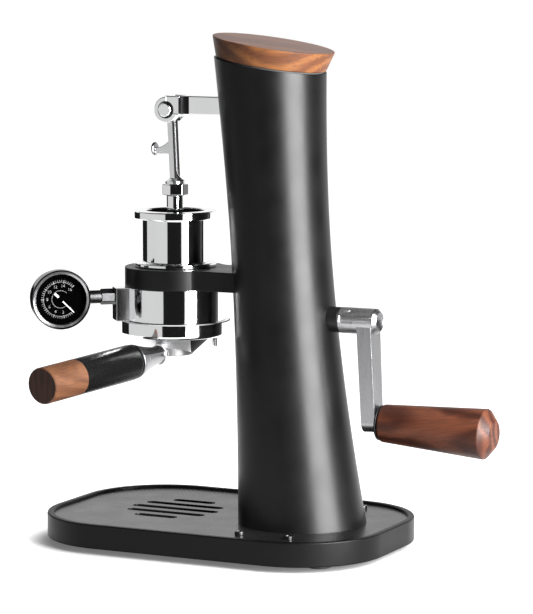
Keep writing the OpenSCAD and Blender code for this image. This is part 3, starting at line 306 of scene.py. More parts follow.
def powder_coat(name, colour, rough, gloss):
    """Baked powder: a fine orange-peel skin with slightly uneven gloss."""
    return finish(name, colour, scaled(colour, 1.35), (rough - 0.03, rough + 0.03), (45, 4), gloss=gloss,
                  relief=(0.00005, 0.35), skin=(1000, 3))


def soften(bm, width, segments=3, sharp=math.radians(30)):
    """Rounds every edge at which two faces meet sharply."""
    edges = [e for e in bm.edges if len(e.link_faces) == 2 and e.calc_face_angle() > sharp]
    bmesh.ops.bevel(bm, geom=edges, offset=width, offset_type="OFFSET", segments=segments, profile=0.5,
                    affect="EDGES", clamp_overlap=True, material=-1)


def add_piece(name, bm, materials, body, slot, *cad_nodes):
    """Adds a finished bmesh as a piece that stands for CAD nodes and rides on their body."""
    made = add_object(name, bm, materials)
    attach(made, body)
    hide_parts(*cad_nodes)
    return made


def rounded_plate(low, high, corner):
    """A flat face with round corners at the lower corner's height, wound upwards."""
    bm = bmesh.new()
    spots = ((low.x, low.y), (high.x, low.y), (high.x, high.y), (low.x, high.y))
    bm.faces.new([bm.verts.new((x, y, low.z)) for x, y in spots])
    bmesh.ops.bevel(bm, geom=bm.verts[:], offset=corner, offset_type="OFFSET", segments=28, profile=0.5,
                    affect="VERTICES", clamp_overlap=True, material=-1)
    return bm


def extrude(bm, way):
    """Draws all faces out along a way into a solid and returns the faces at the new end."""
    grown = bmesh.ops.extrude_face_region(bm, geom=bm.faces[:])["geom"]
    bmesh.ops.translate(bm, verts=[part for part in grown if isinstance(part, bmesh.types.BMVert)], vec=way)
    bmesh.ops.recalc_face_normals(bm, faces=bm.faces[:])
    return [part for part in grown if isinstance(part, bmesh.types.BMFace)]


base_coat = powder_coat("base_coat", coat_black, 0.38, 0.1)
bm = rounded_plate(base_low, base_high, base_corner)
top = extrude(bm, up * (base_high.z - base_low.z))
bmesh.ops.inset_region(bm, faces=top, thickness=rim_width, use_even_offset=True)
bmesh.ops.inset_region(bm, faces=top, thickness=rim_draft, depth=-rim_drop, use_even_offset=True)
bmesh.ops.recalc_face_normals(bm, faces=bm.faces)
soften(bm, rim_round)
add_piece("base_casting", bm, [base_coat], "frame", "black_coat", "base_body")

# Deck: a steel sheet that drops into the base, with five drip slots that fill a round
# field under the spout. It has the same powder coat, worn a little smoother by cups.
deck_low, deck_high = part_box("deck_plate")
slot_middle = brew + Vector((-0.003, 0.004, 0))
slot_field = 0.0355
slot_pitch = 0.0155
slot_half = 0.004
slot_count = 5
deck_edge = 0.0003


def ring_edges(bm, points):
    """A closed loop of edges through points."""
    verts = [bm.verts.new(point) for point in points]
    return [bm.edges.new(pair) for pair in zip(verts, verts[1:] + verts[:1])]


def arc(middle, radius, start, end, steps):
    """Points along an arc, at the middle's height."""
    turns = [start + (end - start) * step / steps for step in range(steps + 1)]
    return [middle + Vector((radius * math.cos(turn), radius * math.sin(turn), 0)) for turn in turns]


deck_coat = powder_coat("deck_coat", (0.005, 0.005, 0.0052), 0.27, 0.25)
bm = rounded_plate(deck_low, deck_high, base_corner - rim_width)
outline = bm.edges[:]
bmesh.ops.delete(bm, geom=bm.faces[:], context="FACES_ONLY")
for index in range(slot_count):
    offset = (index - (slot_count - 1) / 2) * slot_pitch
    reach = math.sqrt(slot_field ** 2 - offset ** 2) - slot_half
    centre = slot_middle + Vector((0, offset, deck_low.z))
    ends = arc(centre + Vector((reach, 0, 0)), slot_half, -math.pi / 2, math.pi / 2, 10)
    ends += arc(centre - Vector((reach, 0, 0)), slot_half, math.pi / 2, math.pi * 3 / 2, 10)
    outline += ring_edges(bm, ends)
bmesh.ops.triangle_fill(bm, use_beauty=True, edges=outline)
bmesh.ops.dissolve_limit(bm, angle_limit=0.01, verts=bm.verts[:], edges=bm.edges[:])
extrude(bm, up * (deck_high.z - deck_low.z))
soften(bm, deck_edge, 2)
add_piece("deck_sheet", bm, [deck_coat], "frame", "deck_coat", "deck_plate")

# Deck screws: four bright socket-head screws that hold the deck down beside the column.
# The heads are turned steel with a hexagon socket.
screws_low, screws_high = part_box("deck_screws")
screw_head = 0.0035
screw_head_height = 0.0026
screw_edge = 0.0003
socket_radius = 0.0019
socket_depth = 0.0014


def polished(name, colour, rough):
    """Polished metal with faint wiping marks in its gloss."""
    return finish(name, scaled(colour, 0.97), colour, (rough * 0.75, rough * 1.3), (90, 4, (1, 1, 0.25)),
                  metal=1)


def circle_edges(bm, middle, radius, steps):
    """A closed ring of edges at the middle's height."""
    return ring_edges(bm, arc(middle, radius, 0, math.tau, steps)[:-1])


def raise_rim(bm, edges, height):
    """Draws a ring of edges up or down into a wall and returns the ring at its end."""
    grown = bmesh.ops.extrude_edge_only(bm, edges=edges)["geom"]
    bmesh.ops.translate(bm, verts=[part for part in grown if isinstance(part, bmesh.types.BMVert)],
                        vec=up * height)
    return [part for part in grown if isinstance(part, bmesh.types.BMEdge)]


bright_steel = polished("bright_steel", (0.05, 0.05, 0.052), 0.3)
screws = bmesh.new()
for x in (screws_low.x + screw_head, screws_high.x - screw_head):
    for y in (screws_low.y + screw_head, screws_high.y - screw_head):
        middle = Vector((x, y, deck_high.z))
        rim = circle_edges(screws, middle, screw_head, 32)
        crown = raise_rim(screws, rim, screw_head_height)
        hexagon = circle_edges(screws, middle + up * screw_head_height, socket_radius, 6)
        bmesh.ops.triangle_fill(screws, use_beauty=True, edges=crown + hexagon)
        bmesh.ops.holes_fill(screws, edges=raise_rim(screws, hexagon, -socket_depth))
        bmesh.ops.holes_fill(screws, edges=rim, sides=0)
bmesh.ops.recalc_face_normals(screws, faces=screws.faces[:])
soften(screws, screw_edge, 2, math.radians(60))
add_piece("deck_screw_heads", screws, [bright_steel], "frame", "steel", "deck_screws")

# Feet: four moulded rubber discs pressed into the base's underside.
# Only their rims show, as a dark line between base and table.
feet_low, feet_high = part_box("rubber_feet")
foot_radius = 0.009
foot_round = 0.0008
moulded_rubber = finish("moulded_rubber", (0.012, 0.012, 0.012), (0.024, 0.024, 0.024), (0.65, 0.8), (400, 5),
                        relief=(0.0001, 0.3))
feet = bmesh.new()
for x in (feet_low.x + foot_radius, feet_high.x - foot_radius):
    for y in (feet_low.y + foot_radius, feet_high.y - foot_radius):
        bmesh.ops.create_cone(feet, cap_ends=True, segments=48, radius1=foot_radius, radius2=foot_radius,
                              depth=feet_high.z, matrix=Matrix.Translation((x, y, feet_high.z / 2)))
soften(feet, foot_round)
add_piece("base_feet", feet, [moulded_rubber], "frame", "rubber", "rubber_feet")

# Column: a spun steel tube that leans back to its foot and flares from a waist, cut
# slanting at the top. A slot on its left side lets the lifting arm travel.
column_foot = deck_high.z
column_top = 0.3538
column_top_x = 0.0783
lean_line = 0.0173
lean_curve = 0.0084
waist_height = 0.228
waist_radius = 0.0365
foot_flare = 0.047
top_flare = 0.0405
flare_power = 1.8
column_wall = 0.0035
cap_tilt = math.radians(9)
column_rings = 56
arm_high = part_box("lift_arm")[1]
arm_stroke = joints["lift_slide"]["range_m"][1]
arm_half = 0.006
arm_depth = 0.0134
window_play = 0.001


def column_middle(height):
    """The point on the column's bent middle line at a height."""
    share = (column_top - height) / (column_top - column_foot)
    return brew + Vector((column_top_x + lean_line * share + lean_curve * share ** 2, 0, height))


def column_radius(height):
    """The column's radius at a height, flaring away from its waist."""
    end, flare = (column_foot, foot_flare) if height < waist_height else (column_top, top_flare)
    share = (height - waist_height) / (end - waist_height)
    return waist_radius + (flare - waist_radius) * share ** flare_power


def cut_plane(bm, spot, way):
    """Cuts every face along a plane."""
    bmesh.ops.bisect_plane(bm, geom=bm.verts[:] + bm.edges[:] + bm.faces[:], dist=1e-7,
                           plane_co=spot, plane_no=way)


black_coat = powder_coat("black_coat", coat_black, 0.36, 0.17)
bm = bmesh.new()
bmesh.ops.create_circle(bm, segments=128, radius=column_radius(column_foot),
                        matrix=Matrix.Translation(column_middle(column_foot)))
loop = bm.edges[:]
for ring in range(1, column_rings + 1):
    grown = bmesh.ops.extrude_edge_only(bm, edges=loop)["geom"]
    loop = [part for part in grown if isinstance(part, bmesh.types.BMEdge)]
    share = ring / column_rings
    level = column_foot + (column_top - column_foot) * share
    slope = math.tan(cap_tilt) * share ** 3
    for vert in (part for part in grown if isinstance(part, bmesh.types.BMVert)):
        way = (vert.co - column_middle(vert.co.z)) * Vector((1, 1, 0))
        height = level - slope * way.normalized().x * column_radius(level)
        vert.co = column_middle(height) + way.normalized() * column_radius(height)
arm_bar_low = arm_high.z - arm_depth
window_low = arm_bar_low - arm_stroke - window_play
window_high = arm_high.z + window_play
window_half = arm_half + window_play
for y in (brew.y - window_half, brew.y + window_half):
    cut_plane(bm, (0, y, 0), (0, 1, 0))
for z in (window_low, window_high):
    cut_plane(bm, (0, 0, z), (0, 0, 1))
inside = []
for face in bm.faces:
    middle = face.calc_center_median()
    if (abs(middle.y - brew.y) < window_half and window_low < middle.z < window_high
            and middle.x < column_middle(middle.z).x):
        inside.append(face)
bmesh.ops.delete(bm, geom=inside, context="FACES")
bmesh.ops.recalc_face_normals(bm, faces=bm.faces[:])
bm.edges.index_update()
cut_edges = [edge.index for edge in bm.edges if edge.is_boundary]
column = add_piece("column_tube", bm, [black_coat], "frame", "black_coat", "column_shell")
for index in cut_edges:
    column.data.edges[index].use_edge_sharp = True
wall = column.modifiers.new("wall", "SOLIDIFY")
wall.thickness = column_wall
wall.offset = -1

# Cap gasket: a thin black rubber ring between the column's slanted edge and the cap.
# It shows as a dark line under the wood.
gasket_out = 0.0391
gasket_in = 0.0352
gasket_height = 0.001
cap_place = Matrix.Translation(column_middle(column_top)) @ Matrix.Rotation(cap_tilt, 4, "Y")


def lathe(profile, steps=96, closed=False, edge=0.0):
    """A bmesh turned about Z from (radius, height) points, its edges rounded if asked."""
    bm = bmesh.new()
    verts = [bm.verts.new((radius, 0, height)) for radius, height in profile]
    pairs = list(zip(verts, verts[1:]))
    if closed:
        pairs.append((verts[-1], verts[0]))
    edges = [bm.edges.new(pair) for pair in pairs]
    bmesh.ops.spin(bm, geom=verts + edges, cent=(0, 0, 0), axis=(0, 0, 1), angle=math.tau, steps=steps,
                   use_merge=True)
    bmesh.ops.remove_doubles(bm, verts=bm.verts[:], dist=1e-6)
    bmesh.ops.recalc_face_normals(bm, faces=bm.faces[:])
    if edge:
        soften(bm, edge)
    return bm


def tube(bore, radius, low, high, steps=96, edge=0.0):
    """A turned tube between two heights, or a full bar where its bore is 0."""
    return lathe([(bore, low), (radius, low), (radius, high), (bore, high)], steps, bore > 0, edge)


def put(bm, place):
    """Moves a bmesh from the origin to its place and returns it."""
    bmesh.ops.transform(bm, matrix=place, verts=bm.verts[:])
    return bm


bm = tube(gasket_in, gasket_out, 0, gasket_height, 128)
add_piece("cap_ring", put(bm, cap_place), [moulded_rubber], "frame", "rubber", "cap_gasket")

# Cap: a turned disc of oiled walnut that widens upwards, plugged into the column by a
# spigot. The grain runs across it, its top edge is broken by a small rounding, and its
# top is waxed.
cap_height = 0.0146
cap_foot = 0.0403
cap_radius = 0.0448
cap_spigot = 0.0352
cap_spigot_length = 0.006
cap_edge = 0.0009
cap_rings = 34.0


def walnut(name, dark, middle, light, along, at, rings, gloss):
    """Oiled walnut: growth rings about a slanting heart line, bent by a slow noise, and fine
    pores along the grain. The heart line runs along the given direction through a point."""
    material, tree = new_material(name)
    shader = tree.nodes["Principled BSDF"]
    spot = add_node(tree, "ShaderNodeTexCoord", {}).outputs["Object"]
    turned = add_node(tree, "ShaderNodeMapping", {"Vector": spot, "Location": at,
                                                  "Rotation": along.to_track_quat("Z", "Y").to_euler()},
                      vector_type="TEXTURE").outputs["Vector"]
    bend = noise_on(tree, turned, 150, 4, (1, 1, 0.3))
    fibre = noise_on(tree, turned, 800, 4, (1, 1, 0.06))
    drawn = add_node(tree, "ShaderNodeMapping", {"Vector": turned, "Scale": (1, 1, 0.3)}).outputs["Vector"]
    wave = add_node(tree, "ShaderNodeTexWave", {"Vector": drawn, "Scale": rings, "Distortion": 6, "Detail": 3,
                                                "Detail Scale": 0.9},
                    wave_type="RINGS", rings_direction="Z").outputs["Fac"]
    figure = add_node(tree, "ShaderNodeMix", {"Factor": 0.5, "A": wave, "B": bend}, data_type="FLOAT")
    tone = blend(tree, figure.outputs["Result"], ((0.28, dark), (0.5, middle), (0.72, light)))
    pores = add_node(tree, "ShaderNodeMapRange", {"Value": fibre, "From Min": 0.3, "From Max": 0.55,
                                                  "To Min": 0.55})
    stained = add_node(tree, "ShaderNodeMix", {"Factor": 0.8, "A": tone, "B": pores.outputs["Result"]},
                       data_type="RGBA", blend_type="MULTIPLY")
    tree.links.new(stained.outputs["Result"], shader.inputs["Base Color"])
    vary(tree, fibre, shader.inputs["Roughness"], 0.55, 0.4)
    shader.inputs["Specular IOR Level"].default_value = gloss
    emboss(tree, fibre, shader, 0.00008, 0.25)
    return material


cap_grain = Vector((0.9, 0.44, -0.1))
cap_heart = column_middle(column_top) - up * 0.03
cap_walnut = walnut("cap_walnut", (0.057, 0.017, 0.0042), (0.077, 0.0253, 0.0068), (0.107, 0.0386, 0.01),
                    cap_grain, cap_heart, cap_rings, 0.25)
cap_waxed = walnut("cap_waxed", (0.053, 0.0155, 0.0052), (0.072, 0.0232, 0.0085), (0.1, 0.0353, 0.0125),
                   cap_grain, cap_heart, cap_rings, 0.95)
wax = cap_waxed.node_tree.nodes["Principled BSDF"]
wax.inputs["Coat Weight"].default_value = 0.5
wax.inputs["Coat Roughness"].default_value = 0.35
cap_top = gasket_height + cap_height
bm = lathe([(0, -cap_spigot_length), (cap_spigot, -cap_spigot_length), (cap_spigot, gasket_height),
            (cap_foot, gasket_height), (cap_radius, cap_top), (0, cap_top)], 128, edge=cap_edge)
put(bm, cap_place)
cap_axis = cap_place.to_3x3() @ up
for face in bm.faces:
    face.material_index = int(face.normal.dot(cap_axis) > 0.9)
add_piece("cap_disc", bm, [cap_walnut, cap_waxed], "frame", "walnut", "wood_cap")

# Bracket: a cast ring with a stout arm, powder coated like the column. The arm passes
# into the column and is screwed to the frame inside; the ring carries the brew group.
bracket_low, bracket_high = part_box("group_bracket")
bracket_radius = 0.0376
bracket_half = 0.025
bracket_bore = 0.0247
bracket_tail = 0.014
bracket_round = 0.0009
bracket_fillet = 0.006


def bored_block(plan, middle, height):
    """A flat block of a given outline, with the bracket's bore, that stands on its plan."""
    bm = bmesh.new()
    loops = ring_edges(bm, plan) + circle_edges(bm, middle, bracket_bore, 72)
    bmesh.ops.triangle_fill(bm, use_beauty=True, edges=loops)
    extrude(bm, up * height)
    return bm


base_point = brew + up * bracket_low.z
root = math.asin(bracket_half / bracket_radius)
plan = arc(base_point, bracket_radius, root, math.tau - root, 72)
bracket_end = column_middle(bracket_low.z).x - column_radius(bracket_low.z) + bracket_tail
plan += [Vector((bracket_end, brew.y + side * bracket_half, bracket_low.z)) for side in (-1, 1)]
bm = bored_block(plan, base_point, bracket_high.z - bracket_low.z)
root_x = brew.x + bracket_radius * math.cos(root)
corners = [e for e in bm.edges if all(abs(v.co.x - root_x) < 1e-5 for v in e.verts)
           and abs(e.verts[0].co.z - e.verts[1].co.z) > bracket_round
           and abs(abs(e.verts[0].co.y - brew.y) - bracket_half) < 1e-5]
bmesh.ops.bevel(bm, geom=corners, offset=bracket_fillet, offset_type="OFFSET", segments=8, profile=0.5,
                affect="EDGES", clamp_overlap=True, material=-1)
soften(bm, bracket_round)
add_piece("bracket_casting", bm, [black_coat], "frame", "black_coat", "group_bracket")

# Water cup: a turned and chromed steel cup with a thick rim and a foot flange that
# clamps it to the bracket. Its bore gets a near-black finish, a painted shade inside the
# cup, and hot water is poured in past the rod.
cup_low, cup_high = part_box("water_cup")
cup_bore = 0.0215
cup_body = 0.0246
cup_rim = 0.0306
cup_rim_height = 0.006
cup_flange = 0.0303
cup_flange_height = 0.0035
cup_round = 0.0009

chrome = polished("chrome", (0.90, 0.905, 0.91), 0.045)
# A near-black metal laid where shade and dark reflections are painted: the cup's bore, hollows, pin seats, rod
# sides and upward faces.
painted_shade = polished("painted_shade", (0.02, 0.02, 0.021), 0.5)
brew_place = Matrix.Translation(brew)
flange_top = bracket_high.z + cup_flange_height
bm = lathe([(cup_bore, cup_low.z), (cup_body, cup_low.z), (cup_body, bracket_high.z),
            (cup_flange, bracket_high.z), (cup_flange, flange_top), (cup_body, flange_top),
            (cup_body, cup_high.z - cup_rim_height), (cup_rim, cup_high.z - cup_rim_height),
            (cup_rim, cup_high.z), (cup_bore, cup_high.z)], 128, True, cup_round)
# The bore's faces get the painted shade.
for face in bm.faces:
    face.material_index = int(face.calc_center_median().xy.length < cup_bore)
add_piece("cup_shell", put(bm, brew_place), [chrome, painted_shade], "frame", "chrome", "water_cup")

# Group body: a chromed block under the bracket, round but for a flat boss on its left
# that takes the pressure gauge.
group_radius = 0.0372
boss_reach = 0.0462
boss_half = 0.008
group_depth = 0.0247
group_round = 0.0006
gauge_out = -Vector(joints["needle_turn"]["axis"])
gauge_line = Vector((gauge_out.y, -gauge_out.x, 0))
gauge_turn = math.atan2(gauge_line.y, gauge_line.x)

base_point = brew + up * (bracket_low.z - group_depth)
root = math.asin(boss_half / group_radius)
plan = arc(base_point, group_radius, gauge_turn + root, gauge_turn + math.tau - root, 88)
side = Vector((-gauge_line.y, gauge_line.x, 0)) * boss_half
plan += [base_point + gauge_line * boss_reach - side, base_point + gauge_line * boss_reach + side]
bm = bored_block(plan, base_point, group_depth)
soften(bm, group_round)
add_piece("group_block", bm, [chrome], "frame", "chrome", "group_body")

# Bayonet collar: a chromed ring under the group, wider than it and rounded below.
# The portafilter's ears turn behind its inner lip.
collar_low, collar_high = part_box("bayonet_collar")
collar_radius = 0.0405
collar_bore = 0.0296
collar_round = 0.0024
collar_edge = 0.0007


def blasted(name, colour, metal, rough):
    """Bead-blasted metal: even grey that takes light softly, with fine brushed streaks."""
    return finish(name, scaled(colour, 0.9), colour, (rough - 0.05, rough + 0.05), (700, 3, (1, 1, 0.05)),
                  metal=metal, relief=(0.00002, 0.12))


def quarter(radius, height, size, degrees):
    """Profile points of a quarter round, from its foot out to its side."""
    return [(radius - size * (1 - math.sin(turn)), height + size * (1 - math.cos(turn)))
            for turn in map(math.radians, degrees)]


bm = lathe([(collar_bore, collar_low.z)]
           + quarter(collar_radius, collar_low.z, collar_round, range(0, 91, 15))
           + [(collar_radius, collar_high.z - collar_edge), (collar_radius - collar_edge, collar_high.z),
              (collar_bore, collar_high.z)], 128, True)
# The top chamfer gets a pale diffuse grey: a painted highlight line.
for face in bm.faces:
    face.material_index = int(0.3 < face.normal.z < 0.95)
painted_edge_highlight = blasted("painted_edge_highlight", (0.22, 0.22, 0.225), 0.0, 0.5)
add_piece("collar_ring", put(bm, brew_place), [chrome, painted_edge_highlight], "frame", "chrome", "bayonet_collar")

# Stop pin: a small turned pin pressed into the collar's underside, which stops the
# portafilter's handle.
peg_low, peg_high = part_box("stop_pin")
peg_radius = 0.0018
peg_seat = 0.001
peg_round = 0.0004
peg_place = Matrix.Translation(((peg_low.x + peg_high.x) / 2, (peg_low.y + peg_high.y) / 2, 0))
bm = tube(0, peg_radius, peg_low.z, collar_low.z + peg_seat, 32, peg_round)
add_piece("stop_peg", put(bm, peg_place), [chrome], "frame", "chrome", "stop_pin")

# Gauge fittings: a hexagon union screwed into the boss and a slimmer stem that runs on
# to the gauge's case, both of blackened steel.
gauge_middle = Vector(joints["needle_turn"]["pos_m"])
stem_radius = 0.0049
stem_sunk = 0.002
union_flats = 0.0106
union_length = 0.0105
union_round = 0.0006
case_radius = 0.0201
case_back = 0.014


def frame_of(origin, ahead, up):
    """A matrix whose Z runs ahead and whose Y leans up."""
    across = up.cross(ahead).normalized()
    return Matrix.Translation(origin) @ Matrix((across, ahead.cross(across), ahead)).transposed().to_4x4()


def shade_tops(bm):
    """Gives the faces that look up the second material, which paints shade on them."""
    bm.normal_update()
    for face in bm.faces:
        face.material_index = int(face.normal.z > 0.45)


def hexagon_bar(flats, length, place):
    """A hexagon bar about a place, measured across its flats."""
    bm = bmesh.new()
    bmesh.ops.create_cone(bm, cap_ends=True, segments=6, radius1=flats / math.sqrt(3),
                          radius2=flats / math.sqrt(3), depth=length, matrix=place)
    return bm


stem_line = brew + up * gauge_middle.z
stem_place = frame_of(stem_line + gauge_line * boss_reach, gauge_line, up)
stem_end = (gauge_middle - stem_line).dot(gauge_line) - case_radius - boss_reach + stem_sunk
union_steel = polished("union_steel", (0.075, 0.075, 0.077), 0.35)
pipe = tube(0, stem_radius, -stem_sunk, stem_end, 48)
union = hexagon_bar(union_flats, union_length, Matrix.Translation((0, 0, union_length / 2)))
soften(union, union_round)
# The union's and stem's upward faces get the painted shade.
for name, bm, node in (("gauge_pipe", pipe, "gauge_stem"), ("gauge_nut", union, "gauge_union")):
    shade_tops(put(bm, stem_place))
    add_piece(name, bm, [union_steel, painted_shade], "frame", "chrome", node)

# Gauge case and bezel: a black pressed cup behind, and a dark chromed ring rolled over
# the glass in front, with a brighter slope inside.
case_front = 0.0045
case_wall = 0.0016
case_round = 0.0008
bezel_radius = 0.0219
bezel_back = -0.002
bezel_front = 0.0075
bezel_roll = ((0, 0.0012), (0.0004, 0.0004), (0.001, 0), (0.0017, 0.0001))
bezel_lip = 0.0188
bezel_lip_thick = 0.0002
bezel_edge = 0.0002
glass_height = 0.0015
dial_place = frame_of(gauge_middle, gauge_out, up)


def moulded(name, colour, rough, gloss):
    """Moulded black plastic with a fine eroded texture."""
    return finish(name, colour, scaled(colour, 1.4), (rough - 0.04, rough + 0.04), (1800, 3), gloss=gloss)


moulded_black = moulded("moulded_black", (0.004, 0.004, 0.0042), 0.34, 0.25)
bm = lathe([(0, -case_back), (case_radius, -case_back), (case_radius, case_front),
            (case_radius - case_wall, case_front), (case_radius - case_wall, -case_back + case_wall),
            (0, -case_back + case_wall)], edge=case_round)
add_piece("gauge_cup", put(bm, dial_place), [moulded_black], "frame", "black_plastic", "gauge_case")
glass_front = case_front + glass_height
bm = lathe([(case_radius, bezel_back), (bezel_radius, bezel_back)]
           + [(bezel_radius - inward, bezel_front - down) for inward, down in bezel_roll]
           + [(bezel_lip, glass_front + bezel_lip_thick), (bezel_lip, glass_front),
              (case_radius, glass_front)], closed=True)
soften(bm, bezel_edge, 2, math.radians(50))
for face in bm.faces:
    inner = face.calc_center_median().xy.length < bezel_radius - bezel_roll[-1][0]
    face.material_index = int(inner and face.normal.z > 0.3)
dark_chrome = polished("dark_chrome", (0.06, 0.06, 0.062), 0.12)
rim_steel = polished("rim_steel", (0.4, 0.4, 0.41), 0.34)
add_piece("gauge_rim", put(bm, dial_place), [dark_chrome, rim_steel], "frame", "chrome", "gauge_bezel")

# Dial: a black painted disc with printed white ticks and plain numbers. The scale runs
# clockwise over three quarters of a turn from the needle's rest at half past four.
dial_radius = 0.0183
dial_back = 0.0014
dial_front = 0.0021
print_height = 0.00004
scale_start = math.radians(-45)
scale_sweep = math.radians(270)
scale_ticks = 41
ticks_per_number = 5
tick_out = 0.0142
ring_out = 0.0126
ring_in = 0.0064
tick_short = 0.0012
tick_long = 0.0022
tick_wide = 0.00016
number_ring = 0.0098
number_height = 0.0031
number_step = 2


def painted(name, dark, light, rough, gloss):
    """A flat grey print or paint with slightly uneven cover."""
    return finish(name, (dark, dark, dark), (light, light, light), (rough - 0.05, rough + 0.05), (900, 4),
                  gloss=gloss)


dial_black = painted("dial_black", 0.0003, 0.0006, 0.5, 0.0)
print_grey = painted("print_grey", 0.08, 0.14, 0.5, 0.05)
bm = tube(0, dial_radius, dial_back, dial_front)
add_piece("dial_disc", put(bm, dial_place), [dial_black], "frame", "dial_black", "gauge_dial")

scale_place = dial_place @ Matrix.Rotation(scale_start, 4, "Z")
marks = bmesh.new()
for tick in range(scale_ticks):
    turn = scale_start - scale_sweep * tick / (scale_ticks - 1)
    numbered = tick % ticks_per_number == 0
    length = tick_long if numbered else tick_short
    wide = tick_wide * (2 if numbered else 1)
    bmesh.ops.create_cube(marks, size=1, matrix=dial_place @ Matrix.Rotation(turn, 4, "Z")
                          @ Matrix.Translation((tick_out - length / 2, 0, dial_front))
                          @ Matrix.Diagonal((length, 2 * wide, 2 * print_height, 1)))
    if numbered:
        letters = bpy.data.curves.new("number", "FONT")
        letters.body = str(number_step * (tick // ticks_per_number))
        letters.size = number_height
        letters.align_x = "CENTER"
        letters.align_y = "CENTER"
        letters.extrude = print_height
        letters.resolution_u = 4
        flat = bpy.data.objects.new("number", letters)
        outline = flat.to_mesh()
        outline.transform(dial_place @ Matrix.Translation(
            (number_ring * math.cos(turn), number_ring * math.sin(turn), dial_front)))
        marks.from_mesh(outline)
        flat.to_mesh_clear()
        bpy.data.objects.remove(flat)
        bpy.data.curves.remove(letters)
for radius in (ring_out, ring_in):
    printed = set(marks.faces)
    line = [marks.verts.new(scale_place @ Vector((reach, 0, dial_front)))
            for reach in (radius - tick_wide, radius + tick_wide)]
    bmesh.ops.spin(marks, geom=line + [marks.edges.new(line)], cent=gauge_middle, axis=gauge_out,
                   angle=-scale_sweep, steps=72)
    grown = bmesh.ops.extrude_face_region(marks, geom=[face for face in marks.faces if face not in printed])
    bmesh.ops.translate(marks, verts=[part for part in grown["geom"] if isinstance(part, bmesh.types.BMVert)],
                        vec=gauge_out * print_height)
bmesh.ops.remove_doubles(marks, verts=marks.verts[:], dist=1e-7)
bmesh.ops.recalc_face_normals(marks, faces=marks.faces[:])
add_piece("dial_print", marks, [print_grey], "frame", "needle_white")

# Needle: a white painted pointer with a counterweight tail, cut from thin sheet. It turns
# on the gauge's arbor under a small black hub.
needle_height = 0.0028
needle_thick = 0.0005
needle_length = 0.0138
needle_half = 0.00055
needle_tip_half = 0.000275
needle_tail = 0.0062
tail_neck = 0.00248
tail_half = 0.00077
needle_hub = 0.0021
needle_hub_side = 0.0009
needle_hub_crown = 0.0012
needle_round = 0.0002
needle_white = painted("needle_white", 0.42, 0.5, 0.5, 0.2)
outline = [(-needle_tail, -tail_half), (-tail_neck, -tail_half), (-needle_hub, -needle_half),
           (needle_length, -needle_tip_half), (needle_length, needle_tip_half), (-needle_hub, needle_half),
           (-tail_neck, tail_half), (-needle_tail, tail_half)]


def prism(points, way):
    """A flat outline drawn out along a way."""
    bm = bmesh.new()
    bm.faces.new([bm.verts.new(point) for point in points])
    extrude(bm, way)
    return bm


bm = prism([(x, y, needle_height) for x, y in outline], up * needle_thick)
put(bm, scale_place)
add_piece("pointer", bm, [needle_white], "needle", "needle_white", "gauge_needle")
bm = lathe([(0, needle_height), (needle_hub, needle_height), (needle_hub, needle_height + needle_hub_side),
            (0, needle_height + needle_hub_crown)], 32, edge=needle_round)
add_piece("pointer_hub", put(bm, dial_place), [dial_black], "needle", "dial_black")

# Gauge glass: a flat disc of clear glass held under the bezel's lip. It reflects less than
# glass does, so the lamp doesn't hide the dial.
glass_play = 0.0001
glass, tree = new_material("gauge_clear_glass")
shader = tree.nodes["Principled BSDF"]
shader.inputs["Base Color"].default_value = (0.97, 0.99, 0.99, 1)
shader.inputs["Transmission Weight"].default_value = 1
shader.inputs["Alpha"].default_value = 0.05
shader.inputs["IOR"].default_value = 1.1
vary(tree, grain_noise(tree, 200), shader.inputs["Roughness"], 0.0, 0.03)
bm = tube(0, case_radius - glass_play, case_front, glass_front)
add_piece("gauge_window", put(bm, dial_place), [glass], "frame", "clear_glass", "gauge_glass")

# Lifting arm: a chromed bar that comes out of the column and ends in a fork. Round bosses
# carry the pivot pin, and hollow fillets lead from the wide fork to the narrow bar.
pivot = brew + Vector((-0.0025, 0, 0.3196))
fork_radius = 0.0096
fork_half = 0.010
fork_gap = 0.005
fork_end = 0.011
fork_slot_end = 0.009
fork_slot_over = 0.03
fork_fillet = 0.004
fork_fillet_length = 0.0062
arm_round = 0.0007
across = Vector((0, 1, 0))


def carve(piece, cutter, operation="DIFFERENCE"):
    """Cuts a bmesh out of a piece, or joins it on, and keeps the result as the piece's mesh."""
    mesh = bpy.data.meshes.new("cutter")
    cutter.to_mesh(mesh)
    cutter.free()
    tool = bpy.data.objects.new("cutter", mesh)
    scene.collection.objects.link(tool)
    cut = piece.modifiers.new("cut", "BOOLEAN")
    cut.object = tool
    cut.operation = operation
    cut.solver = "EXACT"
    graph = bpy.context.evaluated_depsgraph_get()
    result = bpy.data.meshes.new_from_object(piece.evaluated_get(graph))
    piece.modifiers.remove(cut)
    old = piece.data
    piece.data = result
    bpy.data.meshes.remove(old)
    bpy.data.objects.remove(tool)
    bpy.data.meshes.remove(mesh)


def smooth(piece, sharp=crease):
    """Shades a carved piece smooth but for its sharp edges."""
    piece.data.shade_smooth()
    piece.data.set_sharp_from_angle(angle=sharp)


def repaint(piece, *materials):
    """Gives a piece exactly these materials and all its faces the first of them."""
    piece.data.materials.clear()
    for material in materials:
        piece.data.materials.append(material)


def block(low, high):
    """A box between two corners."""
    bm = bmesh.new()
    bmesh.ops.create_cube(bm, size=1, matrix=Matrix.Translation((low + high) / 2)
                          @ Matrix.Diagonal((*(high - low), 1)))
    return bm


def turned_bar(radius, start, end, segments=64):
    """A plain round bar between two points."""
    bm = bmesh.new()
    way = end - start
    bmesh.ops.create_cone(bm, cap_ends=True, segments=segments, radius1=radius, radius2=radius,
                          depth=way.length, matrix=Matrix.Translation((start + end) / 2)
                          @ way.to_track_quat("Z", "Y").to_matrix().to_4x4())
    return bm


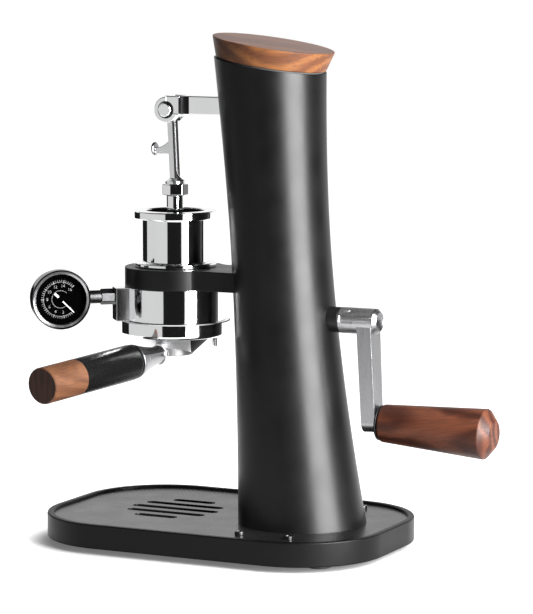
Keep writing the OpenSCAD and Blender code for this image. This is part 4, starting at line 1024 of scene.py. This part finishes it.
def edge_round(piece, width):
    """A live bevel on a piece's sharp edges, with normals that keep its flats flat."""
    bevel = piece.modifiers.new("edges", "BEVEL")
    bevel.width = width
    bevel.segments = 3
    bevel.use_clamp_overlap = False
    bevel.limit_method = "ANGLE"
    bevel.angle_limit = crease
    bevel.harden_normals = True


bm = bmesh.new()
bar_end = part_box("rack")[0].x
plan = [Vector((bar_end, -arm_half, 0)), Vector((bar_end, arm_half, 0))]
hollow = [Vector((point.x * fork_fillet_length / fork_fillet, point.y, 0))
          for point in arc(Vector((fork_fillet, fork_half, 0)), fork_fillet, -math.pi / 2, -math.pi, 8)]
fork_root = Vector((pivot.x + fork_end, 0, 0))
plan += [fork_root + point for point in hollow]
plan += [Vector((pivot.x, fork_half, 0)), Vector((pivot.x, -fork_half, 0))]
plan += [fork_root + Vector((point.x, -point.y, 0)) for point in reversed(hollow)]
bmesh.ops.triangle_fill(bm, use_beauty=True, edges=ring_edges(bm, plan))
bmesh.ops.dissolve_limit(bm, angle_limit=0.01, verts=bm.verts[:], edges=bm.edges[:])
extrude(bm, up * (arm_high.z - arm_bar_low))
put(bm, Matrix.Translation((0, brew.y, arm_bar_low)))
arm = add_piece("lifting_bar", bm, [chrome], "lift", "chrome", "lift_arm")
carve(arm, turned_bar(fork_radius, pivot - across * fork_half, pivot + across * fork_half), "UNION")
carve(arm, block(pivot - Vector((fork_slot_over, fork_gap, fork_slot_over)),
                 pivot + Vector((fork_slot_end, fork_gap, fork_slot_over))))
repaint(arm, chrome, painted_shade)
# The hollow fillets' side faces get the painted shade.
for face in arm.data.polygons:
    along = face.center.x - fork_root.x
    in_hollow = 0 < along < fork_fillet_length and abs(face.normal.z) < 0.5
    face.material_index = int(in_hollow and abs(face.center.y - brew.y) > arm_half)
smooth(arm)
edge_round(arm, arm_round)

# Pivot pin: a turned pin with a proud, chamfered head on either side of the fork. Thin
# near-black rings under the heads are a painted shade around them.
pin_head = 0.0052
pin_proud = 0.0028
pin_shank = 0.0041
pin_chamfer = 0.0006
pin_edge = 0.0002
shade_ring_radius = 0.0064
shade_ring_proud = 0.0003
pin_end = fork_half + pin_proud
half_pin = [(pin_shank, fork_half), (pin_head, fork_half), (pin_head, pin_end - pin_chamfer),
            (pin_head - pin_chamfer, pin_end), (0, pin_end)]
bm = lathe([(radius, -height) for radius, height in reversed(half_pin)] + half_pin, 64)
soften(bm, pin_edge, 2)
put(bm, frame_of(pivot, across, up))
add_piece("pivot_pin", bm, [chrome], "lift", "chrome", "arm_pin")
# Thin near-black rings under both heads: a painted shade.
shade_rings = bmesh.new()
for side in (-1, 1):
    start = pivot + across * (side * (fork_half - shade_ring_proud))
    shade_ring = turned_bar(shade_ring_radius, start, start + across * (side * 2 * shade_ring_proud))
    mesh = bpy.data.meshes.new("shade_ring")
    shade_ring.to_mesh(mesh)
    shade_ring.free()
    shade_rings.from_mesh(mesh)
    bpy.data.meshes.remove(mesh)
add_piece("painted_pin_shade", shade_rings, [painted_shade], "lift", "chrome")

# Plunger rod: a flat forged rod hung from the pin, grooved down both sides and flared
# at the foot, where it is screwed into the piston rod.
nut_low, nut_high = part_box("lock_nut")
rod_foot = brew + up * nut_high.z
rod_line = (rod_foot - pivot).normalized()
rod_length = (rod_foot - pivot).length
rod_start = 0.004
rod_half = 0.0021
rod_deep_half = 0.0044
rod_edge = 0.00025
rod_eye = 0.0074
rod_flare = 0.0078
rod_flare_start = 0.00189
rod_flare_power = 2.2
rod_collar = 0.002
rod_foot_radius = 0.0074
groove_half = 0.0013
groove_deep = 0.0009
eye_half = 0.00495
eye_round = 0.0005


def flare(start, end, low, high, power):
    """Profile points that open from one radius to another between two heights."""
    return [(start + (end - start) * share ** power, low + (high - low) * share)
            for share in (step / 10 for step in range(11))]


rod_place = frame_of(pivot, rod_line, across)
drawn_chrome = polished("drawn_chrome", (0.80, 0.805, 0.81), 0.24)
painted_groove_shade = polished("painted_groove_shade", (0.5, 0.5, 0.51), 0.35)
groove_floor = rod_half - groove_deep
right_side = [(rod_half, -rod_deep_half), (rod_half, -groove_half), (groove_floor, -groove_half),
              (groove_floor, groove_half), (rod_half, groove_half), (rod_half, rod_deep_half)]
section = right_side + [(-x, y) for x, y in reversed(right_side)]
bm = prism([(x, y, rod_start) for x, y in section], up * (rod_length - rod_collar - rod_start))
soften(bm, rod_edge)
bm.normal_update()
# The rod's side faces are painted darker, grey in the groove floors and near-black on the flats: a painted shade
# on its sides.
for face in bm.faces:
    sunk = abs(face.calc_center_median().x) < rod_half - groove_deep / 2
    if abs(face.normal.x) > 0.6:
        face.material_index = 1 if sunk else 2
add_piece("plunger_bar", put(bm, rod_place), [drawn_chrome, painted_groove_shade, painted_shade], "lift", "chrome",
          "plunger_rod")
eye = turned_bar(rod_eye, pivot - across * eye_half, pivot + across * eye_half)
soften(eye, eye_round)
add_piece("plunger_eye", eye, [drawn_chrome], "lift", "chrome")
flare_foot = rod_length - rod_collar
flare_top = flare_foot - rod_flare
bm = lathe([(0, flare_top)] + flare(rod_flare_start, rod_foot_radius, flare_top, flare_foot, rod_flare_power)
           + [(rod_foot_radius, rod_length), (0, rod_length)], 64)
add_piece("plunger_foot", put(bm, rod_place), [drawn_chrome], "lift", "chrome")

# Finger knob: a turned button on a flat web that is brazed to the rod's left side. The
# web's upper edge is hollowed out, so a finger can hold the rod there.
knob_drop = 0.029
knob_length = 0.0146
knob_radius = 0.0049
knob_thick = 0.0022
knob_edge = 0.0006
knob_seat = 0.0004
web_half = 0.0019
web_up = 0.0066
web_down = 0.0039
web_tip = 0.001
knob_line = Vector((rod_line.z, 0, -rod_line.x))
knob_root = pivot + rod_line * (knob_drop / -rod_line.z) + knob_line * rod_half
web_reach = knob_length - knob_thick
bm = lathe([(0, web_reach - knob_seat), (knob_radius - knob_edge, web_reach),
            (knob_radius, web_reach + knob_edge), (knob_radius, knob_length - knob_edge),
            (knob_radius - knob_edge, knob_length), (0, knob_length)], 48)
# The button's upward faces get the painted shade.
shade_tops(put(bm, frame_of(knob_root, knob_line, across)))
knob_steel = polished("knob_steel", (0.34, 0.34, 0.35), 0.26)
add_piece("knob_button", bm, [knob_steel, painted_shade], "lift", "chrome", "finger_knob")
outline = [knob_root + knob_line * (web_reach * share)
           - rod_line * (web_tip + (web_up - web_tip) * (1 - share) ** 2)
           for share in (step / 12 for step in range(13))]
outline += [knob_root + knob_line * web_reach + rod_line * web_down, knob_root + rod_line * web_down]
bm = prism([point - across * web_half for point in outline], across * (2 * web_half))
soften(bm, knob_edge)
add_piece("knob_web", bm, [drawn_chrome], "lift", "chrome")

# Lock nut: a chromed hexagon nut that locks the plunger rod on the piston rod. Its
# corners are turned off at both ends.
nut_flats = 0.017
nut_turn = math.radians(3)
nut_round = 0.0009
nut_side_half = 0.0024
nut_side_radius = 0.575 * nut_flats
nut_cone_half = 0.02
nut_cone_radius = 0.53 * nut_flats
nut_crease = math.radians(28)
nut_place = Matrix.Translation(brew + up * ((nut_low.z + nut_high.z) / 2))
bm = hexagon_bar(nut_flats, nut_high.z - nut_low.z, nut_place @ Matrix.Rotation(nut_turn, 4, "Z"))
soften(bm, nut_round)
painted_flank_shade = polished("painted_flank_shade", (0.13, 0.13, 0.132), 0.3)
nut = add_piece("hexagon_nut", bm, [chrome, painted_flank_shade], "lift", "chrome", "lock_nut")
corner_cut = lathe([(nut_cone_radius, -nut_cone_half), (nut_flats, -nut_cone_half),
                    (nut_flats, nut_cone_half), (nut_cone_radius, nut_cone_half),
                    (nut_side_radius, nut_side_half), (nut_side_radius, -nut_side_half)], 64, True)
carve(nut, put(corner_cut, nut_place))
# The two flanks that face left and right are painted dark grey: a painted shade.
for face in nut.data.polygons:
    face.material_index = int(abs(face.normal.x) > 0.8)
smooth(nut, nut_crease)

# Piston rod: a ground and chromed steel rod that goes down into the cup and carries the
# piston on its end.
shaft_low, shaft_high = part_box("piston_rod")
shaft_radius = 0.0065
shaft_round = 0.0006
bm = tube(0, shaft_radius, shaft_low.z, shaft_high.z, 64, shaft_round)
add_piece("piston_shaft", put(bm, brew_place), [chrome], "lift", "chrome", "piston_rod")

# Crank bush: a black bearing sleeve that stands out of the column's right side and
# carries the crank shaft.
crank_axis = Vector(joints["crank_turn"]["pos_m"])
crank_axis.x = 0
right = Vector((1, 0, 0))
crank_place = frame_of(crank_axis, right, up)
bush_low, bush_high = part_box("crank_bush")
bush_start = bush_low.x + 0.008
bush_radius = 0.0093
bush_bore = 0.00505
bush_round = 0.0007
bm = tube(bush_bore, bush_radius, bush_start, bush_high.x, 80, bush_round)
add_piece("bearing_sleeve", put(bm, crank_place), [moulded_black], "frame", "black_plastic", "crank_bush")

# Crank hub: a satin steel boss on the shaft's end with a dished, polished tip, from which
# the crank arm hangs. A set screw's hole and an L-shaped slot are cut into its side.
hub_low, hub_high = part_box("crank_hub")
hub_radius = 0.0095
hub_bore_depth = 0.014
hub_tip = 0.0027
hub_tip_radius = 0.0068
hub_dish = 0.0042
hub_round = 0.0003
hub_crease = math.radians(28)
set_screw_at = 0.0093
set_screw_radius = 0.0016
set_screw_span = (0.006, 0.02)
notch_at = Vector((0.0016, 0, -0.0011))
notch_wide = 0.0022
notch_deep = 0.0012
notch_over = 0.001
notch_run = 0.010
notch_rise = 0.009

hub_steel = blasted("hub_steel", (0.38, 0.38, 0.387), 1.0, 0.42)
tip_steel = polished("tip_steel", (0.15, 0.15, 0.154), 0.3)
bm = lathe([(bush_bore, hub_low.x), (hub_radius, hub_low.x), (hub_radius, hub_high.x - hub_tip),
            (hub_tip_radius, hub_high.x), (0, hub_high.x - hub_dish), (0, hub_low.x + hub_bore_depth),
            (bush_bore, hub_low.x + hub_bore_depth)], 96, True, hub_round)
for face in bm.faces:
    face.material_index = int(face.calc_center_median().z > hub_high.x - hub_dish)
hub = add_piece("hub_boss", put(bm, crank_place), [hub_steel, tip_steel], "crank", "chrome", "crank_hub")
screw_place = crank_axis + right * (hub_low.x + set_screw_at)
screw_out = outward(0, math.radians(50))
screw_inner, screw_outer = (screw_place + screw_out * reach for reach in set_screw_span)
carve(hub, turned_bar(set_screw_radius, screw_inner, screw_outer, 32))
notch_corner = crank_axis + Vector((hub_low.x, -hub_radius, 0)) + notch_at
for notch_end in ((notch_run, notch_deep, notch_wide), (notch_wide, notch_deep, notch_rise)):
    carve(hub, block(notch_corner - across * notch_over, notch_corner + Vector(notch_end)))
smooth(hub, hub_crease)

# Crank arm: a flat satin bar let into the hub, tapering a little and splayed outwards,
# with a round end that takes the grip's spindle.
grip_root = Vector(joints["grip_spin"]["pos_m"])
grip_line = Vector(joints["grip_spin"]["axis"]).normalized()
crank_inner = hub_low.x + 0.0147
crank_thick = 0.011
crank_head = 0.0035
crank_top_half = 0.009
crank_end_radius = 0.0076
crank_splay = math.radians(2.8)
crank_reach = crank_axis.z - grip_root.z
crank_round = 0.0001

arm_steel = blasted("arm_steel", (0.295, 0.295, 0.303), 1.0, 0.3)
plan = [Vector((-crank_top_half, crank_head, 0)), Vector((-crank_end_radius, -crank_reach, 0))]
plan += arc(Vector((0, -crank_reach, 0)), crank_end_radius, -math.pi, 0, 24)[1:-1]
plan += [Vector((crank_end_radius, -crank_reach, 0)), Vector((crank_top_half, crank_head, 0))]
bm = prism(plan, up * crank_thick)
soften(bm, crank_round)
put(bm, Matrix.Translation((crank_inner, crank_axis.y, crank_axis.z)) @ Matrix.Rotation(-crank_splay, 4, "Y")
    @ Matrix(((0, 0, 1, 0), (1, 0, 0, 0), (0, 1, 0, 0), (0, 0, 0, 1))))
add_piece("crank_bar", bm, [arm_steel], "crank", "chrome", "crank_arm")

# Grip washer: a black moulded ring on the grip's spindle, between the crank arm and the
# wooden grip.
washer_bore = 0.00405
washer_radius = 0.0128
washer_start = 0.0009
washer_end = 0.0025
washer_round = 0.0006
grip_place = frame_of(grip_root, grip_line, across)
bm = tube(washer_bore, washer_radius, washer_start, washer_end, 80, washer_round)
add_piece("grip_ring", put(bm, grip_place), [moulded_black], "crank", "black_plastic", "grip_washer")

# Crank grip: a turned walnut grip that swells to a chamfered end and turns freely on its
# spindle. The grain runs along it.
grip_start = 0.0028
grip_end = 0.0896
grip_bore_end = 0.0728
grip_neck = 0.0137
grip_swell = 0.0182
grip_flat = 0.0099
grip_cut = 0.0068
grip_edge = 0.0012
spindle_bore = 0.0043
grip_walnut = walnut("grip_walnut", (0.0224, 0.0059, 0.003), (0.0374, 0.0105, 0.005),
                     (0.0614, 0.0189, 0.0093), grip_line + up * 0.2,
                     grip_root + Vector((0, 0.012, -0.012)), 42.0, 0.18)
bm = lathe([(spindle_bore, grip_start), (grip_neck - grip_edge, grip_start),
            (grip_neck, grip_start + grip_edge), (grip_swell, grip_end - grip_cut), (grip_flat, grip_end),
            (0, grip_end), (0, grip_bore_end), (spindle_bore, grip_bore_end)], 96, True, grip_edge)
add_piece("turned_grip", put(bm, grip_place), [grip_walnut], "grip", "walnut", "crank_grip")

# Portafilter: a chromed brass bowl hung in the collar by its ears. Its coned underside is
# painted pale in front and near-black elsewhere, a painted highlight and a painted shade,
# and a satin lug and stub lead to the handle.
bowl_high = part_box("portafilter_body")[1]
skirt_z = collar_low.z - 0.0004
bowl_foot_z = collar_low.z - 0.0144
cavity_z = bowl_foot_z + 0.004
shoulder_z = skirt_z + 0.0015
bowl_foot = 0.0124
bowl_skirt = 0.0276
bowl_radius = 0.0293
bowl_inside = 0.0267
cavity_foot = 0.0114
bowl_outlet = 0.004
bowl_round = 0.0004
cut_over = 0.001
handle_turn = math.radians(-9.6)
handle_droop = math.radians(-3)
handle_root = brew + up * (bowl_foot_z + 0.002)
handle_line = outward(handle_turn, handle_droop)
handle_place = frame_of(handle_root, handle_line, up)
stub_radius = 0.0065
stub_span = (0.008, 0.021)
lug_radius = 0.015
lug_at = 0.004
pad_turn = math.radians(26)
pad_edge = 0.0114
near = 0.0004
near_cone = 0.0005

bm = lathe([(0, bowl_foot_z), (bowl_foot, bowl_foot_z), (bowl_skirt, skirt_z), (bowl_radius, shoulder_z),
            (bowl_radius, bowl_high.z), (0, bowl_high.z)], 128)
put(bm, brew_place)
pad_way = Vector((math.cos(pad_turn), math.sin(pad_turn), 0))
cut_plane(bm, brew + pad_way * pad_edge, pad_way)
bowl = add_piece("filter_bowl", bm, [chrome], "portafilter", "chrome", "portafilter_body")
lug_middle = brew + outward(handle_turn) * lug_at
carve(bowl, turned_bar(lug_radius, lug_middle + up * bowl_foot_z, lug_middle + up * skirt_z, 96), "UNION")
stub_start, stub_end = (handle_root + handle_line * reach for reach in stub_span)
carve(bowl, turned_bar(stub_radius, stub_start, stub_end), "UNION")
cavity = lathe([(0, bowl_foot_z - cut_over), (bowl_outlet, bowl_foot_z - cut_over), (bowl_outlet, cavity_z),
                (cavity_foot, cavity_z), (bowl_inside, shoulder_z), (bowl_inside, bowl_high.z + cut_over),
                (0, bowl_high.z + cut_over)], 128)
carve(bowl, put(cavity, brew_place))
repaint(bowl, chrome, blasted("lug_satin", (0.2, 0.2, 0.203), 1.0, 0.5),
        blasted("painted_cone_highlight", (0.9, 0.9, 0.91), 1.0, 0.5), painted("cone_shade", 0.003, 0.005, 0.5, 0.06))
# The cone's front faces get a pale painted highlight, the rest of the cone a painted shade.
for face in bowl.data.polygons:
    out = face.center - brew
    along = (face.center - handle_root).dot(handle_line)
    off_line = (face.center - handle_root - handle_line * along).length
    off_lug = (face.center - lug_middle).xy.length
    cone = bowl_foot + (bowl_skirt - bowl_foot) * (face.center.z - bowl_foot_z) / (skirt_z - bowl_foot_z)
    if abs(off_lug - lug_radius) < near and abs(face.normal.z) < 0.1:
        face.material_index = 1
    elif abs(off_line - stub_radius) < near and along > lug_radius:
        face.material_index = 1
    elif abs(out.xy.length - cone) < near_cone and face.normal.z < -0.4:
        face.material_index = 2 if out.dot(outward(pad_turn)) > 0 and out.dot(pad_way) < pad_edge else 3
smooth(bowl)
edge_round(bowl, bowl_round)

# Handle neck: a turned steel ferrule on the stub, waisted and then flared to the grip. It
# has a chromed ring at its root, and its upper side gets a painted shade.
ring_start = 0.020
ring_end = 0.0216
ring_radius = 0.0076
neck_radius = 0.0066
neck_flare_at = 0.025
neck_flare_end = 0.0515
neck_end = 0.053
neck_end_radius = 0.0127
neck_power = 1.4
neck_round = 0.0004
neck_steel = polished("neck_steel", (0.3, 0.3, 0.306), 0.25)
bm = lathe([(0, ring_start), (ring_radius, ring_start), (ring_radius, ring_end), (neck_radius, ring_end)]
           + flare(neck_radius, neck_end_radius, neck_flare_at, neck_flare_end, neck_power)
           + [(neck_end_radius, neck_end), (0, neck_end)], 80, edge=neck_round)
ring_faces = [face for face in bm.faces if face.calc_center_median().z < ring_end]
# Upward faces get the painted shade.
shade_tops(put(bm, handle_place))
for face in ring_faces:
    face.material_index = 2
add_piece("handle_ferrule", bm, [neck_steel, painted_shade, chrome], "portafilter", "chrome", "handle_neck")

# Handle grip: a satin black moulded sleeve with a rounded shoulder. It sits against the
# neck and carries the wooden end.
handle_radius = 0.0131
handle_round = 0.004
wood_at = 0.119
handle_black = moulded("handle_black", (0.002, 0.002, 0.0021), 0.26, 0.1)
bm = lathe([(0, neck_end)] + quarter(handle_radius, neck_end, handle_round, range(0, 91, 10))
           + [(handle_radius, wood_at), (0, wood_at)])
add_piece("handle_sleeve", put(bm, handle_place), [handle_black], "portafilter", "black_plastic",
          "handle_grip")

# Handle end: a turned walnut end piece glued to the sleeve. Its flat end shows dark end
# grain, its side pale long grain.
handle_end = 0.155
handle_edge = 0.0008
end_walnut = walnut("end_walnut", (0.053, 0.0207, 0.0092), (0.0647, 0.0258, 0.0118), (0.0772, 0.0323, 0.0151),
                    handle_line + Vector((0.1, 0, 0.2)), handle_root + Vector((0.02, 0, 0)), 40.0, 0.18)
end_grain = walnut("end_grain", (0.0148, 0.0043, 0.0021), (0.0199, 0.006, 0.0029), (0.0257, 0.0084, 0.004),
                   up, handle_root + handle_line * handle_end, 60.0, 0.18)
bm = lathe([(0, wood_at), (handle_radius, wood_at), (handle_radius, handle_end - handle_edge),
            (handle_radius - handle_edge, handle_end), (0, handle_end)])
for face in bm.faces:
    face.material_index = int(face.calc_center_median().z > handle_end - 1e-5)
add_piece("handle_tip", put(bm, handle_place), [end_walnut, end_grain], "portafilter", "walnut", "handle_end")

# Inner works: gears, shafts, bushes, plates, screws and seals that the covers hide.
# They keep their turned and milled shapes and get the finish of their metal or rubber.
milled_plate = polished("milled_plate", (0.62, 0.63, 0.65), 0.32)
cut_bronze = polished("cut_bronze", (0.62, 0.40, 0.18), 0.28)
ground_steel = polished("ground_steel", (0.58, 0.58, 0.6), 0.22)
finishes = {"frame_plate": milled_plate, "bronze": cut_bronze, "steel": ground_steel,
            "rubber": moulded_rubber, "chrome": chrome, "black_plastic": moulded_black}
slots = {part["node"]: part["material_slot"] for part in frame["record"]["subparts"]}
for name, node in frame["nodes"].items():
    if not node.hide_render:
        repaint(node, finishes[slots[name]])
